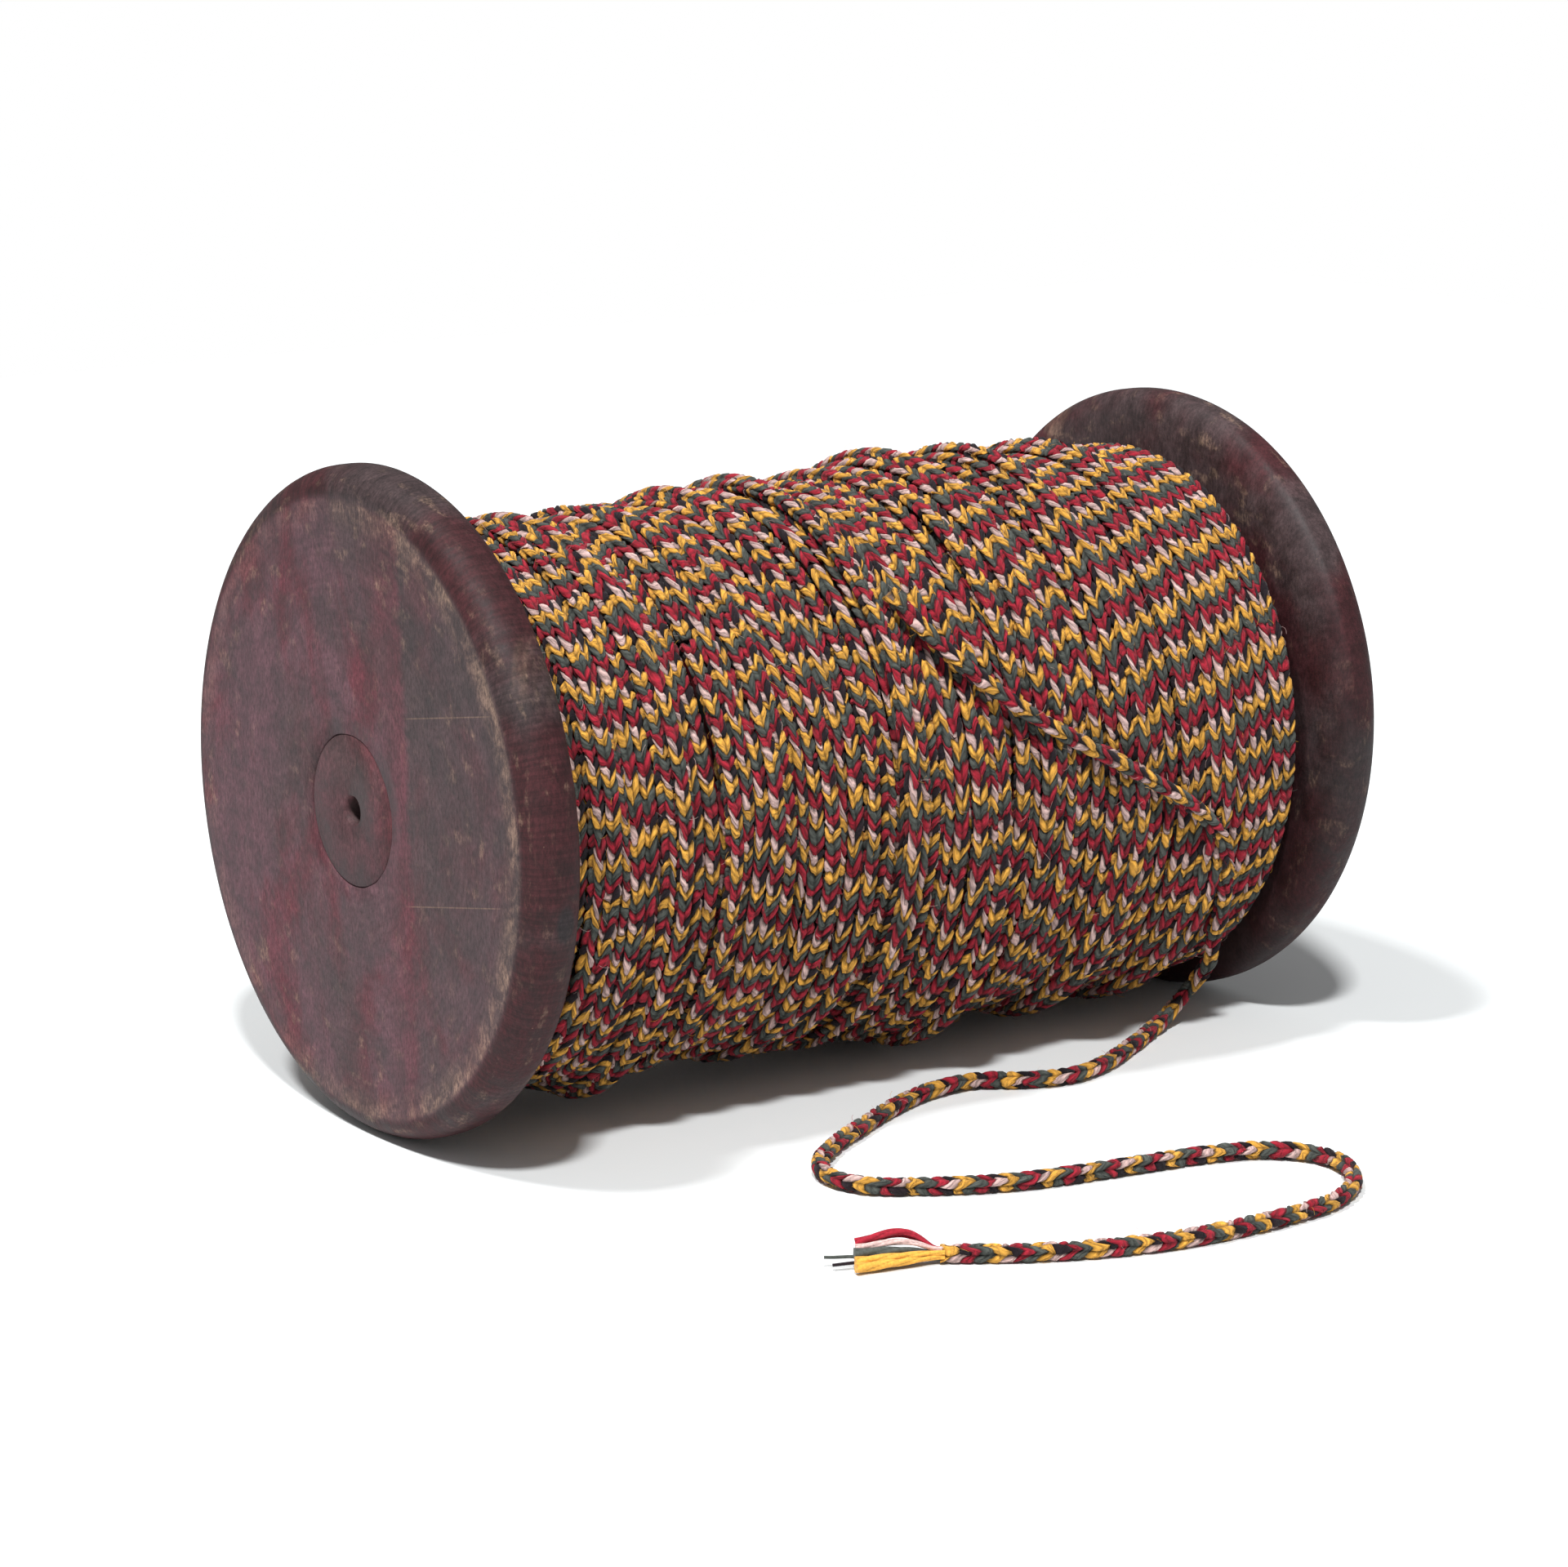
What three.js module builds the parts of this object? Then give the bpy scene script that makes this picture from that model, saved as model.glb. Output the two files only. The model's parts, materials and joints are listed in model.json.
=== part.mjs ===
// Flanged wooden bobbin wound with multicolour braided cord, lying on its side.
// Millimetres, +Z up. The bobbin's axis runs along X, its two flanges stand on z = 0, and the
// origin is on that surface, midway between the flanges. The loose end of the cord lies in front (-Y).

import * as THREE from 'three';

// ---- driving dimensions ----

const OVERALL_LENGTH = 144;
const FLANGE_RADIUS = 45;
const FLANGE_THICKNESS = 8;
const OUTER_ROUND = { radial: 3.5, axial: 4 };   // edge between the outer face and the rim
const INNER_ROUND = { radial: 5, axial: 3 };     // edge between the rim and the winding side
const BARREL_RADIUS = 15;
const TENON_RADIUS = 10.3;                       // reduced end of the barrel that plugs the flange
const PIN_BORE_DIAMETER = 4;
const CORD_DIAMETER = 2.4;
const WINDING_RADIUS = 37.4;                     // over the outermost turns, at the top
const WINDING_SAG = 5.5;                         // how far the loose outer turns hang below that
const WINDING_EDGE = 1.5;                        // chamfer where the outer turns fall away
const LAYER_COUNT = 9;                           // traverses of the cord, flange to flange
const YARN_DIAMETER = 0.55;
const YARNS_ROUND_CORE = 7;                      // yarns of the braid that lie round the eighth

// ---- fits ----

const GLUE_GAP = 0.3;                            // barrel to flange
const LAYER_GAP = 0.3;                           // between one layer of cord and the next
const SIDE_GAP = 0.3;                            // winding to flange
const LAY_GAP = 0.3;                             // loose cord to the winding under it
const YARN_GAP = 0.3;                            // yarn ends to the end of the braid

// ---- fineness of the round shapes ----

const FLANGE_SIDES = 64;                         // a multiple of four, so that a flat lies underneath
const BARREL_SIDES = 32;
const LAYER_SIDES = 32;
const ROUND_STEPS = 4;
const CORD_SIDES = 8;
const CORD_STEPS = 64;
const YARN_SIDES = 6;
const YARN_STEPS = 6;

// ---- worked-out places ----

const HALF_LENGTH = OVERALL_LENGTH / 2;
const INNER_FACE = HALF_LENGTH - FLANGE_THICKNESS;
const AXIS_HEIGHT = FLANGE_RADIUS * Math.cos(Math.PI / FLANGE_SIDES);
const CORD_RADIUS = CORD_DIAMETER / 2;

// ---- the loose cord's route ----

// The last turn lies over the others: [x, degrees above the axis on the front side].
const LAST_TURN = [
  [-4.5, 43], [1.5, 28], [10, 16.5], [16, 10.5], [29, 0], [40.5, -10],
  [44.5, -14.5], [47.5, -19], [49.5, -25], [52.5, -39], [53.7, -45],
];

// Then it drops off the winding and wanders over the surface: [x, y, height of its underside].
const FREE_END = [
  [55, -27.5, 9.1], [55, -24.6, 5.5], [53.2, -23.3, 2.5], [50, -23.8, 0.7], [46, -26, 0.1],
  [28.5, -35.8, 0.1], [21, -37.6, 0.1], [15, -36, 0.1], [8, -31.8, 0.1], [0.5, -32, 0.1],
  [-8.5, -35.4, 0.1], [-18.5, -40.6, 0.1], [-26, -45, 0.1], [-31, -49.6, 0.1],
  [-33.2, -55, 0.1], [-31.5, -60.6, 0.1], [-26.5, -64.6, 0.1], [-15, -70.6, 0.1],
  [13, -76.2, 0.1], [20, -79, 0.1], [24.6, -84, 0.1], [25, -89.5, 0.1],
  [21.5, -95.5, 0.1], [14, -100.2, 0.1], [4, -101.5, 0.1], [-8.5, -101.2, 0.1],
  [-20, -98.5, 0.1], [-31, -93.6, 0.1], [-41, -87, 0.1],
];

// The yarns of the braid where it has come undone: [along the cord, sideways, height of the underside]
// of each tip, and its place round the core of the braid (null for the yarn in the middle).
const YARN_ENDS = [
  { name: 'yarn_end_yellow_1', colour: 'yellow', place: 0, tip: [10, 5, 0.35] },
  { name: 'yarn_end_yellow_2', colour: 'yellow', place: 1, tip: [10, 3.6, 1.45] },
  { name: 'yarn_end_pink', colour: 'pink', place: 2, tip: [9.6, 0.8, 3.35] },
  { name: 'yarn_end_red_1', colour: 'red', place: 3, tip: [9.4, -0.8, 4.5] },
  { name: 'yarn_end_red_2', colour: 'red', place: 4, tip: [8.8, -2.6, 3.3] },
  { name: 'yarn_end_black', colour: 'black', place: 5, tip: [8, -2.4, 0.6] },
  { name: 'yarn_end_green_1', colour: 'green', place: 6, tip: [13.5, -0.2, 0.3] },
  { name: 'yarn_end_green_2', colour: 'green', place: null, tip: [12, 1.3, 2.1] },
];
const YARN_CIRCLE = CORD_RADIUS * 0.7;           // circle of the yarns at the end of the braid
const FIRST_YARN_ANGLE = -0.45;                  // radians, from the sideways direction

// ---- colours ----

const YARN_COLOURS = { yellow: 0xd9a23c, red: 0xa31f2e, green: 0x55605a, pink: 0xe0b5b0, black: 0x251a1e };

function finish(colour, roughness) {
  return new THREE.MeshStandardMaterial({ color: colour, roughness, metalness: 0 });
}

function stainedWood() {
  return finish(0x5a3238, 0.7);
}

function woundCord() {
  return finish(0x8a5a3a, 0.95);
}

// ---- helpers ----

// Points of a quarter ellipse from one [radius, x] corner to another, bulging outwards.
function quarterRound(from, to, bulgeFirst) {
  const points = [];
  for (let step = 0; step <= ROUND_STEPS; step += 1) {
    const angle = (step / ROUND_STEPS) * Math.PI / 2;
    const leading = Math.sin(angle);
    const trailing = 1 - Math.cos(angle);
    const alongRadius = bulgeFirst ? leading : trailing;
    const alongX = bulgeFirst ? trailing : leading;
    const radius = from[0] + (to[0] - from[0]) * alongRadius;
    const x = from[1] + (to[1] - from[1]) * alongX;
    points.push([radius, x]);
  }
  return points;
}

// A turned piece on the bobbin's axis. The profile is a closed list of [radius, x], in order of growing x
// round its outside.
function turned(profile, sides) {
  const outline = profile.map(([radius, x]) => new THREE.Vector2(radius, x));
  outline.push(outline[0].clone());
  const geometry = new THREE.LatheGeometry(outline, sides, Math.PI / sides);
  geometry.rotateZ(-Math.PI / 2);
  geometry.translate(0, 0, AXIS_HEIGHT);
  return geometry;
}

// A round rod along a curve, with capped ends.
function rodAlong(curve, radius, sides, steps) {
  const section = new THREE.Shape();
  for (let side = 0; side < sides; side += 1) {
    const angle = (side / sides) * 2 * Math.PI;
    const point = [radius * Math.cos(angle), radius * Math.sin(angle)];
    if (side === 0) {
      section.moveTo(...point);
    } else {
      section.lineTo(...point);
    }
  }
  section.closePath();
  return new THREE.ExtrudeGeometry(section, { steps, bevelEnabled: false, extrudePath: curve });
}

function curveThrough(points) {
  return new THREE.CatmullRomCurve3(points, false, 'centripetal');
}

function named(name, geometry, material) {
  const mesh = new THREE.Mesh(geometry, material);
  mesh.name = name;
  return mesh;
}

// ---- the bobbin ----

// One flange: a disc with a hole for the tenon, rounded more at the outer edge than at the inner one.
// It is drawn on the -X end, and the other end's is its mirror image.
function flange(name, end) {
  const hole = TENON_RADIUS + GLUE_GAP;
  const outerFace = [
    [hole, -HALF_LENGTH],
    ...quarterRound(
      [FLANGE_RADIUS - OUTER_ROUND.radial, -HALF_LENGTH],
      [FLANGE_RADIUS, -HALF_LENGTH + OUTER_ROUND.axial],
      true,
    ),
  ];
  const innerFace = [
    ...quarterRound(
      [FLANGE_RADIUS, -INNER_FACE - INNER_ROUND.axial],
      [FLANGE_RADIUS - INNER_ROUND.radial, -INNER_FACE],
      false,
    ),
    [hole, -INNER_FACE],
  ];
  let profile = [...outerFace, ...innerFace];
  if (end > 0) {
    profile = profile.map(([radius, x]) => [radius, -x]).reverse();
  }
  return named(name, turned(profile, FLANGE_SIDES), stainedWood());
}

// The barrel between the flanges, with a tenon at each end that shows in the middle of the flange's face,
// and a bore right through for the pin that the bobbin turns on.
function barrel() {
  const bore = PIN_BORE_DIAMETER / 2;
  const shoulder = INNER_FACE - GLUE_GAP;
  const profile = [
    [bore, -HALF_LENGTH],
    [TENON_RADIUS, -HALF_LENGTH],
    [TENON_RADIUS, -shoulder],
    [BARREL_RADIUS, -shoulder],
    [BARREL_RADIUS, shoulder],
    [TENON_RADIUS, shoulder],
    [TENON_RADIUS, HALF_LENGTH],
    [bore, HALF_LENGTH],
  ];
  return named('barrel', turned(profile, BARREL_SIDES), stainedWood());
}

// ---- the winding ----

const WINDING_HALF = INNER_FACE - SIDE_GAP;
const LAYER_PITCH = (WINDING_RADIUS - BARREL_RADIUS) / LAYER_COUNT;

// How much further out the surface of the outer turns is, at an angle above the axis on the front.
function sagAt(angle) {
  return WINDING_SAG * ((1 - Math.sin(angle)) / 2) ** 3;
}

// The inner layers are plain rings.
function innerLayer(number) {
  const inside = BARREL_RADIUS + LAYER_PITCH * (number - 1) + LAYER_GAP;
  const outside = BARREL_RADIUS + LAYER_PITCH * number;
  const profile = [
    [inside, -WINDING_HALF],
    [outside, -WINDING_HALF],
    [outside, WINDING_HALF],
    [inside, WINDING_HALF],
  ];
  return named(`cord_layer_${number}`, turned(profile, LAYER_SIDES), woundCord());
}

// The outermost layer has fallen slack, so its outside hangs lower under the bobbin than it stands on top.
function outerLayer() {
  const inside = BARREL_RADIUS + LAYER_PITCH * (LAYER_COUNT - 1) + LAYER_GAP;
  const edge = WINDING_RADIUS - WINDING_EDGE;
  const profile = [
    [inside, -WINDING_HALF],
    [edge, -WINDING_HALF],
    [WINDING_RADIUS, -WINDING_HALF + WINDING_EDGE],
    [WINDING_RADIUS, WINDING_HALF - WINDING_EDGE],
    [edge, WINDING_HALF],
    [inside, WINDING_HALF],
  ];
  const geometry = turned(profile, FLANGE_SIDES);
  const position = geometry.attributes.position;
  const middleOfLayer = (inside + edge) / 2;
  for (let index = 0; index < position.count; index += 1) {
    const y = position.getY(index);
    const z = position.getZ(index) - AXIS_HEIGHT;
    const radius = Math.hypot(y, z);
    if (radius > middleOfLayer) {
      const grown = (radius + sagAt(Math.atan2(z, -y))) / radius;
      position.setY(index, y * grown);
      position.setZ(index, AXIS_HEIGHT + z * grown);
    }
  }
  return named(`cord_layer_${LAYER_COUNT}`, geometry, woundCord());
}

// ---- the loose end of the cord ----

function onWinding([x, degrees]) {
  const angle = THREE.MathUtils.degToRad(degrees);
  const radius = WINDING_RADIUS + sagAt(angle) + LAY_GAP + CORD_RADIUS;
  return new THREE.Vector3(x, -radius * Math.cos(angle), AXIS_HEIGHT + radius * Math.sin(angle));
}

function onSurface([x, y, height]) {
  return new THREE.Vector3(x, y, height + CORD_RADIUS);
}

const ROUTE = [...LAST_TURN.map(onWinding), ...FREE_END.map(onSurface)];

function looseCord() {
  const geometry = rodAlong(curveThrough(ROUTE), CORD_RADIUS, CORD_SIDES, CORD_STEPS);
  return named('loose_cord', geometry, woundCord());
}

// One of the eight yarns that the braid has come undone into.
function yarnEnd({ name, colour, place, tip }) {
  const end = ROUTE[ROUTE.length - 1];
  const along = end.clone().sub(ROUTE[ROUTE.length - 2]).setZ(0).normalize();
  const up = new THREE.Vector3(0, 0, 1);
  const sideways = new THREE.Vector3().crossVectors(up, along);
  const angle = FIRST_YARN_ANGLE + (place / YARNS_ROUND_CORE) * 2 * Math.PI;
  const reach = place === null ? 0 : YARN_CIRCLE;
  const root = end.clone()
    .addScaledVector(along, YARN_GAP)
    .addScaledVector(sideways, reach * Math.cos(angle))
    .addScaledVector(up, reach * Math.sin(angle));
  const [tipAlong, tipSideways, tipHeight] = tip;
  const last = end.clone()
    .addScaledVector(along, tipAlong)
    .addScaledVector(sideways, tipSideways)
    .setZ(tipHeight + YARN_DIAMETER / 2);
  const straightOut = root.clone().addScaledVector(along, 1.5 * YARN_DIAMETER);
  const middle = straightOut.clone().lerp(last, 0.5);
  const curve = curveThrough([root, straightOut, middle, last]);
  const geometry = rodAlong(curve, YARN_DIAMETER / 2, YARN_SIDES, YARN_STEPS);
  return named(name, geometry, finish(YARN_COLOURS[colour], 0.95));
}

// ---- the assembly ----

const bobbin = new THREE.Group();
bobbin.add(flange('near_flange', -1));
bobbin.add(flange('far_flange', 1));
bobbin.add(barrel());
for (let number = 1; number < LAYER_COUNT; number += 1) {
  bobbin.add(innerLayer(number));
}
bobbin.add(outerLayer());
bobbin.add(looseCord());
for (const yarn of YARN_ENDS) {
  bobbin.add(yarnEnd(yarn));
}

export default bobbin;
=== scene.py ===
"""Wooden bobbin wound with braided cord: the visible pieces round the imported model.

Everything is in metres, in the model's own frame: +X along the bobbin's axis, -Y towards the loose end of
the cord, +Z up from the surface that the flanges stand on.
"""

import json
import math

import bmesh
import bpy
import numpy as np
from bpy.props import FloatProperty, FloatVectorProperty, IntProperty, PointerProperty
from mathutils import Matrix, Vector

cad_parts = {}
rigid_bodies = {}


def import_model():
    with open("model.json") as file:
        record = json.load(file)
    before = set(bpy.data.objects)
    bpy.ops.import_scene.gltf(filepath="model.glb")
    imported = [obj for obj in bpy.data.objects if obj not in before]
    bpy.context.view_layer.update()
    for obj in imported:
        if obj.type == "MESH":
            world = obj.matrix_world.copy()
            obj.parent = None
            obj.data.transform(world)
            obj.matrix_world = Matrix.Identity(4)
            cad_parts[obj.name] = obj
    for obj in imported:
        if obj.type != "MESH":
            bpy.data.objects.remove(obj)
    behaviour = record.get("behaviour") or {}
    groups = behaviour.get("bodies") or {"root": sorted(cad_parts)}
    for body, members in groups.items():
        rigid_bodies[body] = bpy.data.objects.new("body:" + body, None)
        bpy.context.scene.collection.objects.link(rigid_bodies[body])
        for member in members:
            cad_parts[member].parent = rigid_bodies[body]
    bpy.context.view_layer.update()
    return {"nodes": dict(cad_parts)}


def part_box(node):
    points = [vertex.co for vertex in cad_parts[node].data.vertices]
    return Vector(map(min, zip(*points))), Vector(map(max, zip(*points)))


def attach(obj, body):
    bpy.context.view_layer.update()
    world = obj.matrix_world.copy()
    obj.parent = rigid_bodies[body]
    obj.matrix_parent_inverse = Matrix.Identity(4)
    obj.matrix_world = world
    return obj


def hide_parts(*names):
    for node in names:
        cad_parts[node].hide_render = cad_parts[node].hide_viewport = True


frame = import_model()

bl_info = {
    "name": "Wound Bobbin",
    "version": (1, 0, 0),
    "blender": (4, 5, 0),
    "location": "3D View > Sidebar > Bobbin",
    "description": "Turns a wooden bobbin and winds it with braided cord",
    "category": "Object",
}

MM = 0.001
TAU = 2 * math.pi
BODY = "root"
X_AXIS = np.array([1.0, 0.0, 0.0])
UP = np.array([0.0, 0.0, 1.0])

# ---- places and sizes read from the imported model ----


def node_box(name):
    low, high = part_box(name)
    return np.array(low), np.array(high)


OUTER_LAYER = "cord_layer_9"
UNDER_LAYER = "cord_layer_8"
INNER_LAYERS = [f"cord_layer_{number}" for number in range(1, 8)]
NEAR_LOW, NEAR_HIGH = node_box("near_flange")
FAR_LOW, FAR_HIGH = node_box("far_flange")
OUTER_LOW, OUTER_HIGH = node_box(OUTER_LAYER)

AXIS_HEIGHT = (NEAR_LOW[2] + NEAR_HIGH[2]) / 2
HALF_LENGTH = FAR_HIGH[0]
INNER_FACE = FAR_LOW[0]
FLANGE_RADIUS = (NEAR_HIGH[2] - NEAR_LOW[2]) / 2
WINDING_RADIUS = OUTER_HIGH[2] - AXIS_HEIGHT
WINDING_SAG = AXIS_HEIGHT - OUTER_LOW[2] - WINDING_RADIUS


# ---- sizes and colours that a user may change ----


def length(name, description, default):
    return FloatProperty(
        name=name,
        description=description,
        default=default,
        unit="LENGTH",
        subtype="DISTANCE",
        precision=4,
    )


def plain_number(name, description, default):
    return FloatProperty(name=name, description=description, default=default)


def whole_number(name, description, default, least):
    return IntProperty(name=name, description=description, default=default, min=least)


def colour(name, description, default):
    return FloatVectorProperty(
        name=name, description=description, default=default, size=3, min=0.0, max=1.0, subtype="COLOR"
    )


class FlangeSizes(bpy.types.PropertyGroup):
    """The two turned discs and the barrel between them."""

    tenon_radius: length("Tenon radius", "End of the barrel that shows in the flange's face", 10.4 * MM)
    bore_radius: length("Bore radius", "Hole for the pin that the bobbin turns on", 1.95 * MM)
    barrel_radius: length("Barrel radius", "Barrel between the flanges", 15 * MM)
    face_edge: length("Face edge", "How far in from the rim the flat outer face ends", 3.6 * MM)
    outer_round: length("Outer rounding", "Depth of the rounding from the outer face to the rim", 4.2 * MM)
    near_inner_edge: length("Near inner edge", "How far in from the rim its flat inner face ends", 2 * MM)
    far_inner_edge: length("Far inner edge", "How far in from the rim its flat inner face ends", 5 * MM)
    inner_round: length("Inner rounding", "Depth of the rounding from the inner face to the rim", 2.6 * MM)
    rise: length("Rise", "How much taller than round the near flange stands", 0.9 * MM)
    unevenness: length("Unevenness", "How far the hand-turned surface strays", 0.12 * MM)
    sides: whole_number("Sides", "Flats round each turned piece", 192, 24)


class CordSizes(bpy.types.PropertyGroup):
    """The braid, and how it is wound."""

    diameter: length("Diameter", "Thickness of the braided cord", 2.4 * MM)
    stitch: length("Stitch", "Length of braid from one yarn to the next", 1.53 * MM)
    lean: plain_number("Lean", "Stitches that a yarn climbs on its way to the side", 1.2)
    loose_lean: plain_number("Loose lean", "The same where nothing pulls the cord", 1.0)
    relief: plain_number("Relief", "Depth of the furrow between two yarns, in radii", 0.32)
    unevenness: plain_number("Unevenness", "How unlike each other the stitches are", 1.0)
    turn_stitches: plain_number("Stitches per turn", "In the neat part", 148.4)
    outer_turns: whole_number("Outer turns", "Turns in the layer that shows", 55, 2)
    under_turns: whole_number("Under turns", "Turns in the layer below it", 54, 2)
    contact: length("Contact", "Distance between the middles of two cords pressed together", 2.2 * MM)
    yarn_radius: length("Yarn radius", "Radius of one yarn where the braid comes undone", 0.3 * MM)
    fuzz_density: plain_number("Fuzz", "Stray fibres for each square metre", 70000.0)
    fuzz_length: length("Fuzz length", "Length of the stray fibres", 1.1 * MM)
    fuzz_radius: length("Fuzz radius", "Radius of a stray fibre", 0.013 * MM)


class Finishes(bpy.types.PropertyGroup):
    """Colours of the yarns, the wood and the studio."""

    yellow: colour("Yellow yarn", "First yarn of both hands of the braid", (0.78, 0.39, 0.062))
    green: colour("Grey-green yarn", "Second yarn of both hands", (0.080, 0.088, 0.078))
    red: colour("Red yarn", "Third yarn of both hands", (0.36, 0.017, 0.034))
    pink: colour("Pink yarn", "Fourth yarn of the left hand", (0.64, 0.44, 0.41))
    black: colour("Black yarn", "Fourth yarn of the right hand", (0.017, 0.010, 0.014))
    maroon: colour("Maroon stain", "Stain where it lies thick", (0.092, 0.022, 0.030))
    plum: colour("Plum stain", "Stain over most of the faces", (0.086, 0.041, 0.050))
    charcoal: colour("Charcoal", "Where the wood has gone dark", (0.046, 0.032, 0.033))
    bare_wood: colour("Bare wood", "Where the stain has worn away", (0.27, 0.175, 0.12))
    rim: colour("Rim stain", "Stain on the rims and inner sides", (0.040, 0.0095, 0.0115))
    floor: colour("Floor", "Studio floor", (0.82, 0.845, 0.85))


# ---- the loose cord's route, as in the model's own source ----

LAY_GAP = 0.3 * MM
# The last turn lies over the others: (x in millimetres, degrees above the axis on the front side).
LAST_TURN = (
    (-4.5, 43), (1.5, 28), (10, 16.5), (16, 10.5), (29, 0), (40.5, -10),
    (44.5, -14.5), (47.5, -19), (49.5, -25), (52.5, -39), (53.7, -45),
)
# Then it drops off the winding and wanders over the surface: (x, y, height of its underside), millimetres.
FREE_END = (
    (55, -27.5, 9.1), (55, -24.6, 5.5), (53.2, -23.3, 2.5), (50, -23.8, 0.7), (46, -26, 0.1),
    (28.5, -35.8, 0.1), (21, -37.6, 0.1), (15, -36, 0.1), (8, -31.8, 0.1), (0.5, -32, 0.1),
    (-8.5, -35.4, 0.1), (-18.5, -40.6, 0.1), (-26, -45, 0.1), (-31, -49.6, 0.1),
    (-33.2, -55, 0.1), (-31.5, -60.6, 0.1), (-26.5, -64.6, 0.1), (-15, -70.6, 0.1),
    (13, -76.2, 0.1), (20, -79, 0.1), (24.6, -84, 0.1), (25, -89.5, 0.1),
    (21.5, -95.5, 0.1), (14, -100.2, 0.1), (4, -101.5, 0.1), (-8.5, -101.2, 0.1),
    (-20, -98.5, 0.1), (-31, -93.6, 0.1), (-41, -87, 0.1),
)


def on_winding(x, degrees, radius):
    """The point at that distance from the axis, x along it and that angle above it on the front side."""
    angle = math.radians(degrees)
    return np.array([x, -radius * math.cos(angle), AXIS_HEIGHT + radius * math.sin(angle)])


def sag_at(angle):
    """How much further out the slack outer turns hang, from 0 on top to all of it underneath."""
    return WINDING_SAG * ((1 - np.sin(angle)) / 2) ** 3


def loose_route(cord_radius):
    route = []
    for x, degrees in LAST_TURN:
        radius = WINDING_RADIUS + sag_at(math.radians(degrees)) + LAY_GAP + cord_radius
        route.append(on_winding(x * MM, degrees, radius))
    for x, y, height in FREE_END:
        route.append(np.array([x * MM, y * MM, height * MM + cord_radius]))
    return np.array(route)


# ---- curves ----


def spaced_along(points, step):
    """The same line, with its points a step apart, and how far along it each one is."""
    lengths = np.linalg.norm(np.diff(points, axis=0), axis=1)
    along = np.concatenate([[0], np.cumsum(lengths)])
    count = max(2, round(along[-1] / step) + 1)
    at = np.linspace(0, along[-1], count)
    return np.stack([np.interp(at, along, points[:, k]) for k in range(3)], axis=1), at


def smooth_through(points, step):
    """A centripetal Catmull-Rom curve through the points."""
    padded = np.vstack([2 * points[0] - points[1], points, 2 * points[-1] - points[-2]])
    curve = []
    for a, b, c, d in zip(padded, padded[1:], padded[2:], padded[3:]):
        t0 = 0.0
        t1 = t0 + math.sqrt(np.linalg.norm(b - a))
        t2 = t1 + math.sqrt(np.linalg.norm(c - b))
        t3 = t2 + math.sqrt(np.linalg.norm(d - c))
        for t in np.linspace(t1, t2, 16, endpoint=False):
            ab = a + (b - a) * (t - t0) / (t1 - t0)
            bc = b + (c - b) * (t - t1) / (t2 - t1)
            cd = c + (d - c) * (t - t2) / (t3 - t2)
            abc = ab + (bc - ab) * (t - t0) / (t2 - t0)
            bcd = bc + (cd - bc) * (t - t1) / (t3 - t1)
            curve.append(abc + (bcd - abc) * (t - t1) / (t2 - t1))
    curve.append(points[-1])
    return spaced_along(np.array(curve), step)


def slow_noise(seed, at, period, strength):
    """A smooth wandering value along a line: three waves of about that period, with phases from the seed."""
    draw = np.random.default_rng(seed)
    total = np.zeros_like(at)
    for share, stretch in ((0.6, 1.0), (0.45, 0.57), (0.3, 0.33)):
        phase = draw.uniform(0, TAU)
        wave = period * stretch * draw.uniform(0.85, 1.15)
        total += share * np.sin(TAU * at / wave + phase)
    return strength * total


def smoothed(values, reach):
    """The values averaged along their line over about that many neighbours."""
    steps = np.arange(-3 * reach, 3 * reach + 1)
    weights = np.exp(-0.5 * (steps / reach) ** 2)
    padded = np.pad(values, 3 * reach, mode="edge")
    return np.convolve(padded, weights / weights.sum(), mode="valid")


def facing_turned(points, facing, roll):
    """The facing directions, square to the line and rolled about it."""
    tangent = np.gradient(points, axis=0)
    tangent /= np.linalg.norm(tangent, axis=1, keepdims=True)
    facing = facing - tangent * (facing * tangent).sum(1, keepdims=True)
    facing /= np.linalg.norm(facing, axis=1, keepdims=True)
    side = np.cross(tangent, facing)
    return facing * np.cos(roll)[:, None] + side * np.sin(roll)[:, None]


def outward(points):
    """The direction away from the bobbin's axis."""
    away = points - np.array([0, 0, AXIS_HEIGHT])
    away = away - X_AXIS * (away @ X_AXIS)[:, None]
    return away / np.linalg.norm(away, axis=1, keepdims=True)


# ---- node trees ----


def add_node(tree, kind, inputs=None, **settings):
    """A node with those settings, its inputs given as values or as other nodes' outputs."""
    node = tree.nodes.new(kind)
    for key, value in settings.items():
        setattr(node, key, value)
    for key, value in (inputs or {}).items():
        if isinstance(value, bpy.types.NodeSocket):
            tree.links.new(value, node.inputs[key])
        else:
            node.inputs[key].default_value = value
    return node


def reckon(tree, operation, *values):
    """One Math node's output."""
    node = add_node(tree, "ShaderNodeMath", dict(enumerate(values)), operation=operation)
    return node.outputs[0]


def plus(tree, first, second):
    return reckon(tree, "ADD", first, second)


def minus(tree, first, second):
    return reckon(tree, "SUBTRACT", first, second)


def times(tree, first, second):
    return reckon(tree, "MULTIPLY", first, second)


def reckon_vector(tree, operation, *values):
    """One Vector Math node's output."""
    node = add_node(tree, "ShaderNodeVectorMath", dict(enumerate(values)), operation=operation)
    return node.outputs["Vector"]


def vector_length(tree, vector):
    node = add_node(tree, "ShaderNodeVectorMath", {0: vector}, operation="LENGTH")
    return node.outputs["Value"]


def vector_of(tree, x, y, z):
    """A vector of three numbers, each a value or another node's output."""
    return add_node(tree, "ShaderNodeCombineXYZ", {"X": x, "Y": y, "Z": z}).outputs["Vector"]


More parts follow.
